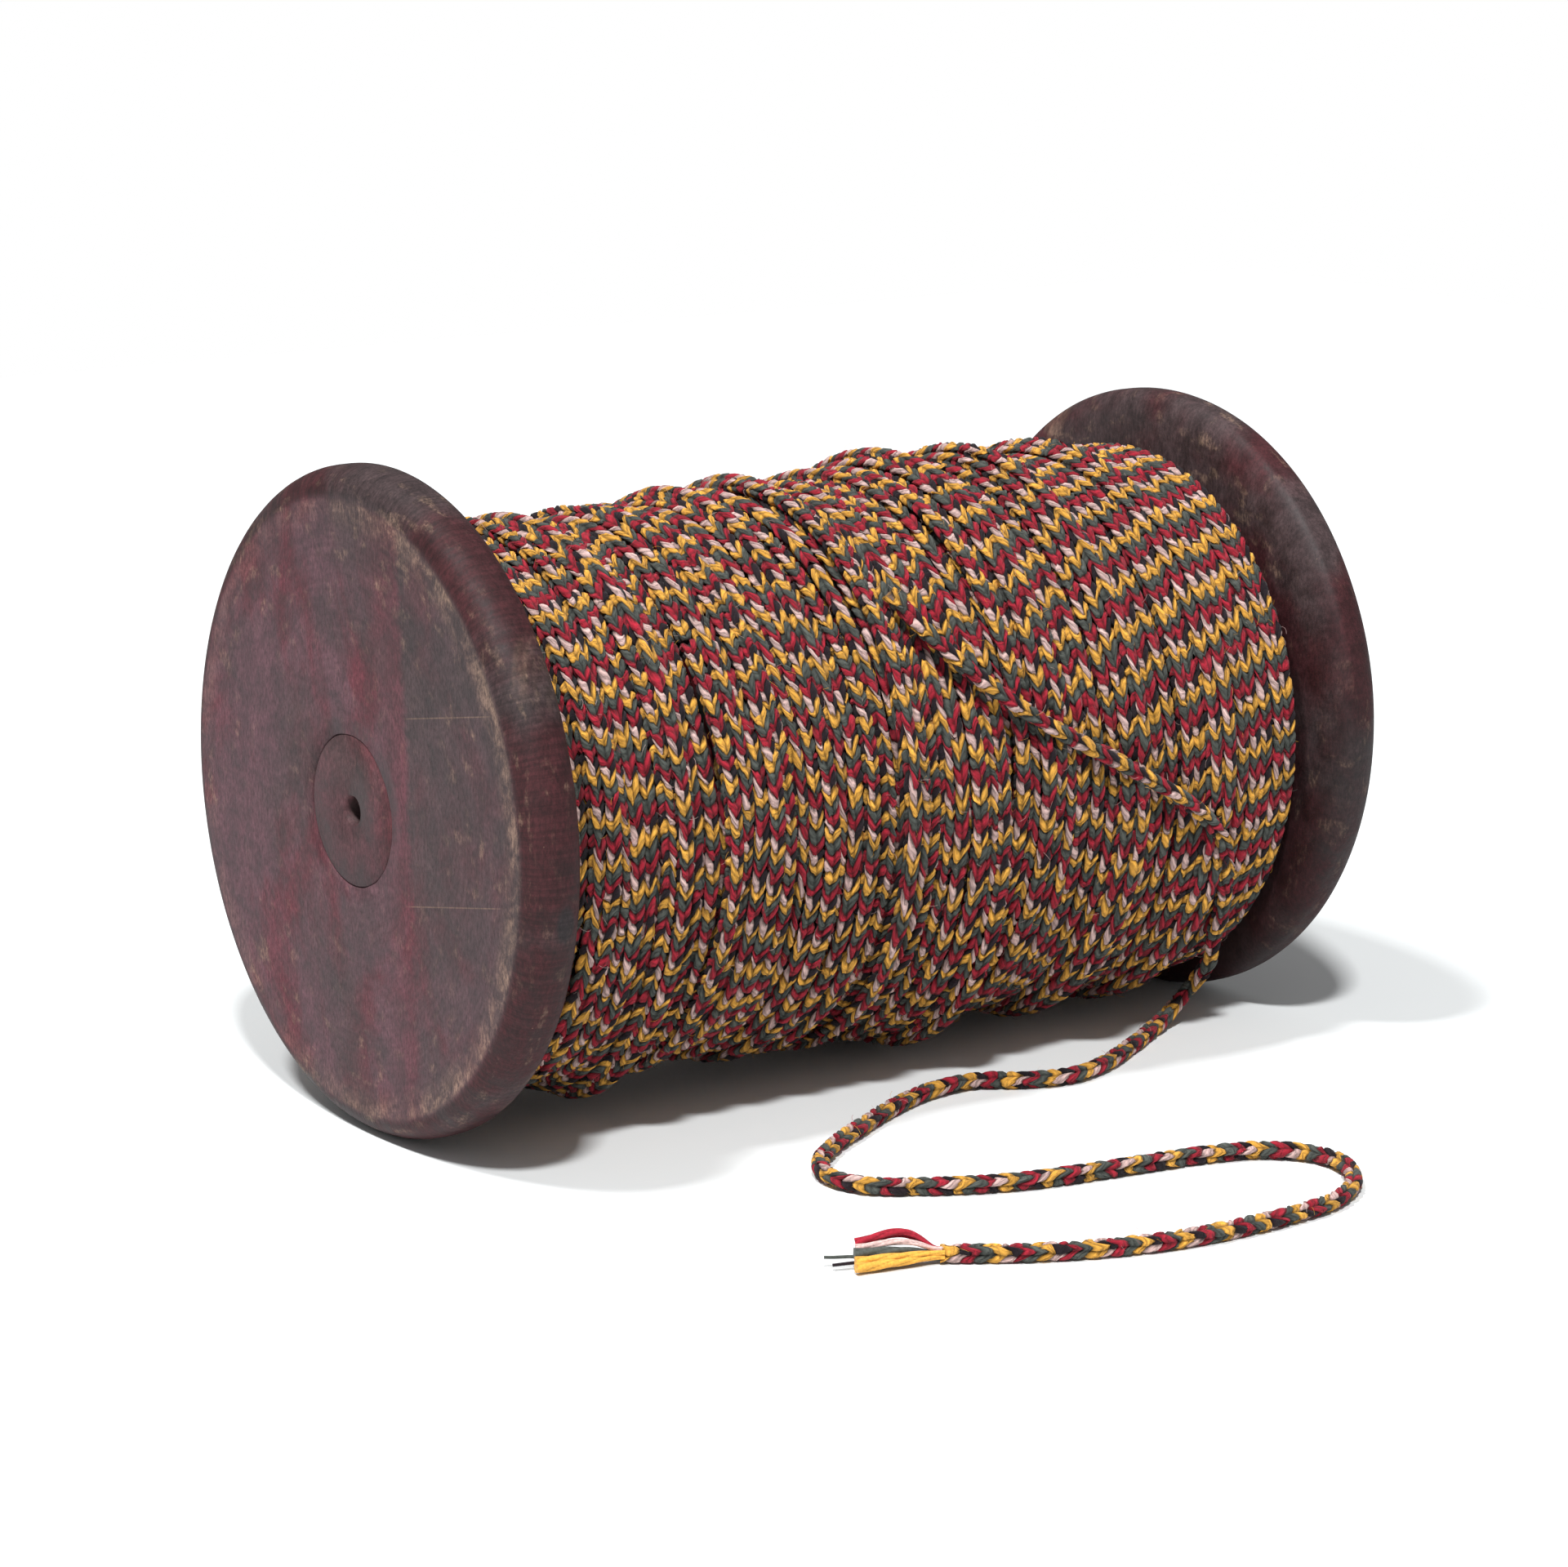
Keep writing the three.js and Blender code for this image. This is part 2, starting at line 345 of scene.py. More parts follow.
def scaled(tree, vector, by):
    """The vector, or the colour, times a number."""
    node = add_node(tree, "ShaderNodeVectorMath", {"Vector": vector, "Scale": by}, operation="SCALE")
    return node.outputs["Vector"]


class SizedTree:
    """A Geometry Nodes tree with named inputs, which an object's modifier sets by their identifiers."""

    def __init__(self, name, inputs):
        self.tree = bpy.data.node_groups.new(name, "GeometryNodeTree")
        face = self.tree.interface
        face.new_socket("Geometry", in_out="INPUT", socket_type="NodeSocketGeometry")
        self.identifiers = {}
        for label, kind in inputs.items():
            self.identifiers[label] = face.new_socket(label, in_out="INPUT", socket_type=kind).identifier
        face.new_socket("Geometry", in_out="OUTPUT", socket_type="NodeSocketGeometry")
        self.given = add_node(self.tree, "NodeGroupInput").outputs

    def finish(self, geometry):
        """Ends the tree in Realize Instances and Set Material."""
        real = add_node(self.tree, "GeometryNodeRealizeInstances", {"Geometry": geometry})
        painted = add_node(
            self.tree,
            "GeometryNodeSetMaterial",
            {"Geometry": real.outputs["Geometry"], "Material": self.given["Material"]},
        )
        add_node(self.tree, "NodeGroupOutput", {"Geometry": painted.outputs["Geometry"]})

    def run(self, source, name, **values):
        """The tree's result on a copy of the source mesh, as a plain mesh object of that name."""
        holder = bpy.data.objects.new(name + "_rule", source)
        bpy.context.scene.collection.objects.link(holder)
        modifier = holder.modifiers.new("rule", "NODES")
        modifier.node_group = self.tree
        for label, value in values.items():
            modifier[self.identifiers[label.replace("_", " ")]] = value
        graph = bpy.context.evaluated_depsgraph_get()
        mesh = bpy.data.meshes.new_from_object(holder.evaluated_get(graph), depsgraph=graph)
        mesh.name = name
        bpy.data.objects.remove(holder)
        piece = bpy.data.objects.new(name, mesh)
        bpy.context.scene.collection.objects.link(piece)
        return piece


FLOAT = "NodeSocketFloat"
COUNT = "NodeSocketInt"
MATERIAL = "NodeSocketMaterial"


def named(tree, name, kind="FLOAT"):
    node = add_node(tree, "GeometryNodeInputNamedAttribute", {"Name": name}, data_type=kind)
    return node.outputs["Attribute"]


def stored(tree, geometry, name, value, domain="POINT"):
    node = add_node(
        tree,
        "GeometryNodeStoreNamedAttribute",
        {"Geometry": geometry, "Name": name, "Value": value},
        data_type="FLOAT",
        domain=domain,
    )
    return node.outputs["Geometry"]


def swept_tube(tree, curve, rings, sides):
    """A closed tube along the ruler whose points hold 'along' and 'around', both from 0 to 1."""
    resampled = add_node(tree, "GeometryNodeResampleCurve", {"Curve": curve, "Count": rings}, mode="COUNT")
    spline = add_node(tree, "GeometryNodeSplineParameter").outputs["Factor"]
    ribs = stored(tree, resampled.outputs["Curve"], "along", spline)
    circle = add_node(tree, "GeometryNodeCurvePrimitiveCircle", {"Resolution": sides, "Radius": MM})
    section = stored(tree, circle.outputs["Curve"], "around", spline)
    tube = add_node(
        tree, "GeometryNodeCurveToMesh", {"Curve": ribs, "Profile Curve": section, "Fill Caps": True}
    )
    return tube.outputs["Mesh"]


def read_off(tree, curve, name, at):
    """The named direction or place that the ruler holds at that mark."""
    node = add_node(
        tree,
        "GeometryNodeSampleCurve",
        {"Curves": curve, "Value": named(tree, name, "FLOAT_VECTOR"), "Length": at},
        mode="LENGTH",
        data_type="FLOAT_VECTOR",
    )
    return node.outputs["Value"]


def placed_round(tree, curve, tube, at, angle, radius):
    """The tube with its points that far from the cord's middle, at that angle from its facing direction."""
    facing = reckon_vector(tree, "NORMALIZE", read_off(tree, curve, "facing", at))
    heading = reckon_vector(tree, "NORMALIZE", read_off(tree, curve, "heading", at))
    side = reckon_vector(tree, "CROSS_PRODUCT", heading, facing)
    forward = scaled(tree, facing, reckon(tree, "COSINE", angle))
    sideways = scaled(tree, side, reckon(tree, "SINE", angle))
    reach = scaled(tree, reckon_vector(tree, "ADD", forward, sideways), radius)
    place = reckon_vector(tree, "ADD", read_off(tree, curve, "place", at), reach)
    moved = add_node(tree, "GeometryNodeSetPosition", {"Geometry": tube, "Position": place})
    return moved.outputs["Geometry"]


def wander(tree, vector, scale, strength):
    """Smooth noise either side of nought."""
    texture = add_node(tree, "ShaderNodeTexNoise", {"Vector": vector, "Scale": scale, "Detail": 1.0})
    middle = minus(tree, texture.outputs["Fac"], 0.5)
    return times(tree, middle, strength)


def braid_tree():
    """Braid along a path: rings of points that follow the chevrons, so that each yarn stands out.

    The path comes as a ruler with one unit for each stitch. Four columns of yarns run round the cord. In
    each, the yarns lean from the middle of a V towards the side, and a ring of the mesh follows one yarn's
    edge through all four."""
    rule = SizedTree(
        "Braid along a path",
        {
            "Diameter": FLOAT,
            "Lean": FLOAT,
            "Relief": FLOAT,
            "Unevenness": FLOAT,
            "First Stitch": FLOAT,
            "Rings": COUNT,
            "Sides": COUNT,
            "Material": MATERIAL,
        },
    )
    tree, given = rule.tree, rule.given
    curve = add_node(tree, "GeometryNodeMeshToCurve", {"Mesh": given["Geometry"]}).outputs["Curve"]
    total = add_node(tree, "GeometryNodeCurveLength", {"Curve": curve}).outputs["Length"]
    tube = swept_tube(tree, curve, given["Rings"], given["Sides"])
    around = named(tree, "around")
    mark = times(tree, named(tree, "along"), total)
    stitch = plus(tree, mark, given["First Stitch"])
    across = reckon(tree, "DIVIDE", reckon(tree, "PINGPONG", around, 0.25), 0.25)
    hand = reckon(tree, "SINE", times(tree, around, 2 * TAU))
    turn = times(tree, around, TAU)

    # No two stitches pull alike: each strays a little along, round and out.
    spot = vector_of(tree, stitch, reckon(tree, "COSINE", turn), reckon(tree, "SINE", turn))
    stray_along = times(tree, wander(tree, spot, 0.85, 2.1), given["Unevenness"])
    stray_round = times(tree, wander(tree, scaled(tree, spot, 1.3), 0.6, 1.3), given["Unevenness"])
    stray_out = times(tree, wander(tree, scaled(tree, spot, 0.7), 1.1, 0.26), given["Unevenness"])

    climb = times(tree, minus(tree, 0.5, across), given["Lean"])
    climb = reckon(tree, "MULTIPLY_ADD", hand, 0.3, climb)
    at = plus(tree, plus(tree, mark, climb), stray_along)
    angle = plus(tree, turn, stray_round)

    within = reckon(tree, "FRACT", plus(tree, stitch, 1e-4))
    crown = reckon(tree, "SINE", times(tree, within, math.pi))
    crown = reckon(tree, "POWER", reckon(tree, "MAXIMUM", crown, 0.0), 0.6)
    middle = reckon(tree, "POWER", reckon(tree, "ABSOLUTE", hand), 0.5)
    low = times(tree, minus(tree, 1.0, crown), given["Relief"])
    tuck = times(tree, given["Relief"], 1.1)
    tucked = times(tree, minus(tree, 1.0, middle), tuck)
    share = minus(tree, 1.05, plus(tree, low, tucked))
    share = plus(tree, share, stray_out)
    radius = times(tree, share, times(tree, given["Diameter"], 0.5))

    shaped = placed_round(tree, curve, tube, at, angle, radius)
    shaped = stored(tree, shaped, "stitch", stitch)
    shaped = stored(tree, shaped, "hand", hand)
    shaped = stored(tree, shaped, "across", across)
    smooth = add_node(tree, "GeometryNodeSetShadeSmooth", {"Geometry": shaped, "Shade Smooth": True})
    rule.finish(smooth.outputs["Geometry"])
    return rule


def yarn_tree():
    """Plied yarn along a path: three plies twisted together, opening out or tapering towards the cut end as
    its flare says.
    """
    rule = SizedTree(
        "Plied yarn along a path",
        {
            "Radius": FLOAT,
            "Twist": FLOAT,
            "Flare": FLOAT,
            "Rings": COUNT,
            "Sides": COUNT,
            "Material": MATERIAL,
        },
    )
    tree, given = rule.tree, rule.given
    curve = add_node(tree, "GeometryNodeMeshToCurve", {"Mesh": given["Geometry"]}).outputs["Curve"]
    total = add_node(tree, "GeometryNodeCurveLength", {"Curve": curve}).outputs["Length"]
    tube = swept_tube(tree, curve, given["Rings"], given["Sides"])
    at_length = times(tree, named(tree, "along"), total)
    angle = times(tree, named(tree, "around"), TAU)
    plies = 3.0
    turned = plus(tree, times(tree, angle, plies), times(tree, at_length, given["Twist"]))
    ply = reckon(tree, "ABSOLUTE", reckon(tree, "COSINE", times(tree, turned, 0.5)))
    share = reckon(tree, "MULTIPLY_ADD", ply, 0.28, 0.76)
    flare = reckon(tree, "MULTIPLY_ADD", named(tree, "along"), given["Flare"], 1.0)
    share = times(tree, share, flare)
    radius = times(tree, share, given["Radius"])
    shaped = placed_round(tree, curve, tube, at_length, angle, radius)
    shaped = stored(tree, shaped, "ply", ply)
    smooth = add_node(tree, "GeometryNodeSetShadeSmooth", {"Geometry": shaped, "Shade Smooth": True})
    rule.finish(smooth.outputs["Geometry"])
    return rule


def fibre_tree():
    """Stray fibres: short bent hairs scattered over a cord and turned every way."""
    rule = SizedTree(
        "Stray fibres on a cord",
        {
            "Density": FLOAT,
            "Length": FLOAT,
            "Radius": FLOAT,
            "Seed": COUNT,
            "Material": MATERIAL,
        },
    )
    tree, given = rule.tree, rule.given
    position = add_node(tree, "GeometryNodeInputPosition").outputs["Position"]
    height = add_node(tree, "ShaderNodeSeparateXYZ", {"Vector": position}).outputs["Z"]
    # None is raised on the underside of the cord that lies on the floor.
    clear_of_floor = reckon(tree, "GREATER_THAN", height, 1.6 * MM)
    spots = add_node(
        tree,
        "GeometryNodeDistributePointsOnFaces",
        {
            "Mesh": given["Geometry"],
            "Selection": clear_of_floor,
            "Density": given["Density"],
            "Seed": given["Seed"],
        },
    ).outputs
    # One hair of about unit length: it starts just under the surface and bends over.
    bent = add_node(
        tree,
        "GeometryNodeCurveQuadraticBezier",
        {"Resolution": 4, "Start": (0, 0, -0.1), "Middle": (0.2, 0.05, 0.55), "End": (1.0, 0.3, 0.3)},
    )
    circle = add_node(tree, "GeometryNodeCurvePrimitiveCircle", {"Resolution": 3})
    girth = reckon(tree, "DIVIDE", given["Radius"], given["Length"])
    section = add_node(tree, "GeometryNodeTransform", {"Geometry": circle.outputs["Curve"], "Scale": girth})
    hair = add_node(
        tree,
        "GeometryNodeCurveToMesh",
        {"Curve": bent.outputs["Curve"], "Profile Curve": section.outputs["Geometry"], "Fill Caps": True},
    )
    spin = add_node(
        tree,
        "FunctionNodeRandomValue",
        {"Min": (-0.5, -0.5, 0.0), "Max": (0.5, 0.5, TAU), "Seed": given["Seed"]},
        data_type="FLOAT_VECTOR",
    )
    turned = add_node(
        tree,
        "FunctionNodeRotateRotation",
        {"Rotation": spots["Rotation"], "Rotate By": spin.outputs["Value"]},
        rotation_space="LOCAL",
    )
    # The random node has a Min and a Max for each kind of value: these are the ones for numbers.
    shortest, longest = 0.4, 1.5
    size = add_node(tree, "FunctionNodeRandomValue", data_type="FLOAT")
    for socket in size.inputs:
        if socket.type == "VALUE" and socket.name in ("Min", "Max"):
            socket.default_value = shortest if socket.name == "Min" else longest
    size_value = next(s for s in size.outputs if s.type == "VALUE")
    instances = add_node(
        tree,
        "GeometryNodeInstanceOnPoints",
        {
            "Points": spots["Points"],
            "Instance": hair.outputs["Mesh"],
            "Rotation": turned.outputs["Rotation"],
            "Scale": times(tree, size_value, given["Length"]),
        },
    )
    tinted = stored(tree, instances.outputs["Instances"], "tint", size_value, "INSTANCE")
    rule.finish(tinted)
    return rule


def ruler(name, marks, points, facing):
    """A straight line with the cord's place, heading and facing at each mark along it."""
    mesh = bpy.data.meshes.new(name + "_ruler")
    edges = [(i, i + 1) for i in range(len(marks) - 1)]
    mesh.from_pydata([(mark - marks[0], 0, 0) for mark in marks], edges, [])
    heading = np.gradient(points, axis=0)
    heading /= np.linalg.norm(heading, axis=1, keepdims=True)
    for label, values in (("place", points), ("heading", heading), ("facing", facing)):
        layer = mesh.attributes.new(label, "FLOAT_VECTOR", "POINT")
        layer.data.foreach_set("vector", values.astype(np.float32).ravel())
    return mesh


def map_rows(piece, sides, rows):
    """Lays the tube's faces out in rows for its textures: along the cord one way, round it the other."""
    mesh = piece.data
    vertices = np.empty(len(mesh.loops), np.int32)
    mesh.loops.foreach_get("vertex_index", vertices)
    starts = np.empty(len(mesh.polygons), np.int32)
    counts = np.empty(len(mesh.polygons), np.int32)
    mesh.polygons.foreach_get("loop_start", starts)
    mesh.polygons.foreach_get("loop_total", counts)
    ring = vertices // sides
    side = (vertices % sides).astype(float)
    face = np.repeat(np.arange(len(starts)), counts)
    first_ring = np.minimum.reduceat(ring, starts)
    last_side = np.maximum.reduceat(side, starts)
    first_side = np.minimum.reduceat(side, starts)
    wraps = (last_side - first_side > sides / 2) & (counts == 4)
    side[wraps[face] & (side == 0)] = sides
    per_row = math.ceil((ring.max() + 1) / rows)
    row = first_ring[face] // per_row
    margin = 0.04
    u = (ring - row * per_row) / per_row
    v = (row + margin + (1 - 2 * margin) * side / sides) / rows
    layer = mesh.uv_layers.new(name="OFBake")
    layer.uv.foreach_set("vector", np.stack([u, v], axis=1).astype(np.float32).ravel())


# ---- materials ----


def new_material(name, roughness, specular=0.5):
    material = bpy.data.materials.new(name)
    material.use_nodes = True
    tree = material.node_tree
    shader = tree.nodes["Principled BSDF"]
    shader.inputs["Roughness"].default_value = roughness
    shader.inputs["Specular IOR Level"].default_value = specular
    return material, tree, shader


def attribute(tree, name):
    return add_node(tree, "ShaderNodeAttribute", attribute_name=name).outputs["Fac"]


def noise(tree, scale, detail, vector, roughness=0.55, distortion=0.0):
    inputs = {
        "Vector": vector,
        "Scale": scale,
        "Detail": detail,
        "Roughness": roughness,
        "Distortion": distortion,
    }
    return add_node(tree, "ShaderNodeTexNoise", inputs).outputs["Fac"]


def between(tree, value, low, high, out_low=0.0, out_high=1.0):
    """The value's place between low and high, clamped and eased, given out from out_low to out_high."""
    node = add_node(
        tree,
        "ShaderNodeMapRange",
        {"Value": value, "From Min": low, "From Max": high, "To Min": out_low, "To Max": out_high},
        interpolation_type="SMOOTHSTEP",
    )
    return node.outputs["Result"]


def blended(tree, share, first, second):
    """Two colours mixed by the share of the second."""
    node = add_node(tree, "ShaderNodeMix", data_type="RGBA")
    for key, value in (("Factor_Float", share), ("A_Color", first), ("B_Color", second)):
        socket = next(s for s in node.inputs if s.identifier == key)
        if isinstance(value, bpy.types.NodeSocket):
            tree.links.new(value, socket)
        elif key == "Factor_Float":
            socket.default_value = value
        else:
            socket.default_value = (*value[:3], 1.0)
    return next(s for s in node.outputs if s.identifier == "Result_Color")


def bumped(tree, height, distance, strength, under=None):
    """A normal that leans with the height, on top of another where one is given."""
    inputs = {"Height": height, "Distance": distance, "Strength": strength}
    if under is not None:
        inputs["Normal"] = under
    return add_node(tree, "ShaderNodeBump", inputs).outputs["Normal"]


def braid_colours(tree, stitch, hand, finishes):
    """Yellow, grey-green, red, then pink on one hand and black on the other."""
    yarns_in_turn = 4.0
    place = reckon(tree, "FRACT", reckon(tree, "DIVIDE", stitch, yarns_in_turn))
    is_right = reckon(tree, "LESS_THAN", hand, 0.0)
    colour_now = blended(tree, is_right, finishes.pink, finishes.black)
    for limit, yarn in ((0.75, finishes.red), (0.5, finishes.green), (0.25, finishes.yellow)):
        before = reckon(tree, "LESS_THAN", place, limit)
        colour_now = blended(tree, before, colour_now, yarn)
    return colour_now


def braided_cord(finishes):
    """Eight soft yarns braided together, with their plies and fibres, and painted shade in the furrows
    between them and between the plies.
    """
    material, tree, shader = new_material("braided_cord", 0.95, 0.1)
    stitch, hand, across = (attribute(tree, n) for n in ("stitch", "hand", "across"))
    # Fibres run along each yarn: fine across it, long along it.
    column = reckon(tree, "GREATER_THAN", hand, 0.0)
    fibre_place = vector_of(
        tree,
        reckon(tree, "MULTIPLY_ADD", across, 0.55, stitch),
        times(tree, across, 0.35),
        times(tree, column, 7.3),
    )
    fibres = noise(tree, 8.0, 4.0, fibre_place, 0.7)
    patches = noise(tree, 1.1, 2.0, fibre_place)
    # Fibres of one yarn lie over the next, so that neither ends in a clean line.
    ragged = reckon(tree, "MULTIPLY_ADD", minus(tree, fibres, 0.5), 0.5, stitch)
    within = reckon(tree, "FRACT", ragged)
    colour_now = braid_colours(tree, ragged, hand, finishes)
    plies = reckon(tree, "ABSOLUTE", reckon(tree, "SINE", times(tree, within, TAU)))

    # Painted shade: the colour is darkened in the furrow between one yarn and the next (furrow), where the
    # yarns tuck in at the middle of each V and at the sides (ends), and in the grooves between the plies
    # (plies). The fibres and patches vary the yarns' own colour.
    crown = reckon(tree, "SINE", times(tree, within, math.pi))
    furrow = between(tree, crown, 0.0, 0.7, 0.42, 0.98)
    ends = between(tree, reckon(tree, "ABSOLUTE", hand), 0.0, 0.5, 0.46, 0.98)
    lit = times(tree, furrow, ends)
    lit = times(tree, lit, between(tree, fibres, 0.3, 0.7, 0.62, 1.28))
    lit = times(tree, lit, between(tree, patches, 0.3, 0.7, 0.74, 1.1))
    lit = times(tree, lit, between(tree, plies, 0.0, 0.6, 0.84, 1.04))
    tree.links.new(scaled(tree, colour_now, lit), shader.inputs["Base Color"])
    shader.inputs["Sheen Weight"].default_value = 0.08
    shader.inputs["Sheen Roughness"].default_value = 0.6
    normal = bumped(tree, plies, 0.10 * MM, 0.75)
    normal = bumped(tree, fibres, 0.18 * MM, 0.9, normal)
    tree.links.new(normal, shader.inputs["Normal"])
    return material


def fibre_material(finishes):
    """Stray fibres of all the yarns' colours."""
    material, tree, shader = new_material("stray_fibres", 0.9, 0.2)
    tint = reckon(tree, "FRACT", times(tree, attribute(tree, "tint"), 17.0))
    colour_now = blended(tree, reckon(tree, "LESS_THAN", tint, 0.6), finishes.pink, finishes.green)
    colour_now = blended(tree, reckon(tree, "LESS_THAN", tint, 0.4), colour_now, finishes.red)
    colour_now = blended(tree, reckon(tree, "LESS_THAN", tint, 0.2), colour_now, finishes.yellow)
    tree.links.new(colour_now, shader.inputs["Base Color"])
    return material


def loose_yarn(name, tint):
    """One soft plied yarn, with painted shade between its plies."""
    material, tree, shader = new_material(name, 0.92, 0.2)
    place = add_node(tree, "ShaderNodeTexCoord").outputs["Object"]
    fibres = noise(tree, 2600.0, 3.0, place, 0.65)
    ply = attribute(tree, "ply")
    # Painted shade: the colour falls to half in the grooves between the plies; the fibres vary the yarn's own
    # colour.
    lit = times(tree, between(tree, ply, 0.0, 0.5, 0.5, 1.0), between(tree, fibres, 0.3, 0.7, 0.8, 1.2))
    tree.links.new(scaled(tree, vector_of(tree, *tint), lit), shader.inputs["Base Color"])
    shader.inputs["Sheen Weight"].default_value = 0.12
    tree.links.new(bumped(tree, fibres, 0.06 * MM, 0.7), shader.inputs["Normal"])
    return material


class DiscPlaces:
    """Where a point of turned wood is, measured from the middle of its face, as nodes' outputs."""

    def __init__(self, tree, face_x, seed):
        self.tree = tree
        place = add_node(tree, "ShaderNodeTexCoord").outputs["Object"]
        self.centred = reckon_vector(tree, "SUBTRACT", place, (face_x, 0.0, AXIS_HEIGHT))
        parts = add_node(tree, "ShaderNodeSeparateXYZ", {"Vector": self.centred}).outputs
        self.y, self.z = parts["Y"], parts["Z"]
        self.depth = reckon(tree, "ABSOLUTE", parts["X"])
        self.radius = vector_length(tree, vector_of(tree, 0.0, self.y, self.z))
        angle = reckon(tree, "ARCTAN2", self.z, self.y)
        self.around = reckon(tree, "SINE", angle), reckon(tree, "COSINE", angle)
        self.moved = reckon_vector(tree, "ADD", self.centred, (seed * 0.37, seed * 0.21, seed * 0.53))

    def on_disc(self, out, turn, through):
        """Noise places that change that quickly with the radius, round the axis and through the disc."""
        tree = self.tree
        return vector_of(
            tree,
            reckon(tree, "MULTIPLY_ADD", self.radius, out, times(tree, self.depth, through)),
            times(tree, self.around[0], turn),
            times(tree, self.around[1], turn),
        )

    def stretched(self, along_grain):
        return reckon_vector(self.tree, "MULTIPLY", self.moved, (1.0, 1.0, along_grain))


def two_boards(tree, at, mottle, clouds, colour_now, finishes):
    """The face's boards meet a third of the way across, and the front one has gone darker."""
    joint = reckon(tree, "MULTIPLY_ADD", at.z, 0.05, -14.6 * MM)
    ragged = reckon(tree, "MULTIPLY_ADD", mottle, 3 * MM, -1.5 * MM)
    behind = plus(tree, minus(tree, at.y, joint), ragged)
    board = between(tree, behind, 1.2 * MM, -1.2 * MM)
    high = between(tree, at.z, -30 * MM, -6 * MM, 0.3, 1.0)
    high = times(tree, high, between(tree, clouds, 0.35, 0.6, 1.0, 0.7))
    darker = times(tree, board, times(tree, high, 0.85))
    colour_now = blended(tree, darker, colour_now, finishes.charcoal)
    red_edge = times(tree, between(tree, behind, 9 * MM, 0.6 * MM), minus(tree, 1.0, board))
    return blended(tree, times(tree, red_edge, 0.55), colour_now, finishes.maroon)


def with_knot(tree, at, mottle, colour_now):
    """A dark knot in the rim."""
    place = reckon_vector(tree, "SUBTRACT", at.centred, (5.2 * MM, -FLANGE_RADIUS, -7.0 * MM))
    reach = vector_length(tree, reckon_vector(tree, "MULTIPLY", place, (1.4, 0.4, 0.8)))
    reach = plus(tree, reach, times(tree, mottle, 1.5 * MM))
    share = between(tree, reach, 3.2 * MM, 2.2 * MM, 0.0, 0.85)
    return blended(tree, share, colour_now, (0.02, 0.016, 0.018))


def scratched(tree, at, worn):
    """Two straight scratches across the front of the face."""
    for height, tilt in ((12.3 * MM, -0.19), (-13.0 * MM, -0.2)):
        off = minus(tree, at.z, reckon(tree, "MULTIPLY_ADD", at.y, tilt, height))
        fine = between(tree, reckon(tree, "ABSOLUTE", off), 0.14 * MM, 0.03 * MM, 0.0, 0.3)
        starts = between(tree, at.y, -13 * MM, -16 * MM)
        stops = between(tree, at.y, -39 * MM, -34 * MM)
        worn = reckon(tree, "MAXIMUM", worn, times(tree, fine, times(tree, starts, stops)))
    return worn


def rubbed_edge(tree, at, edge, mottle, grain):
    """A worn line where the face meets the rounding, most of it on the side that is handled."""
    handled = between(tree, at.y, 25 * MM, -25 * MM, 0.25, 1.0)
    inside = between(tree, at.radius, edge - 4.0 * MM, edge - 0.2 * MM)
    outside = between(tree, at.radius, edge + 0.9 * MM, edge)
    line = times(tree, inside, outside)
    rubbed = times(tree, times(tree, line, handled), between(tree, mottle, 0.38, 0.62, 0.1, 0.8))
    return times(tree, rubbed, between(tree, grain, 0.3, 0.6, 0.35, 1.0))


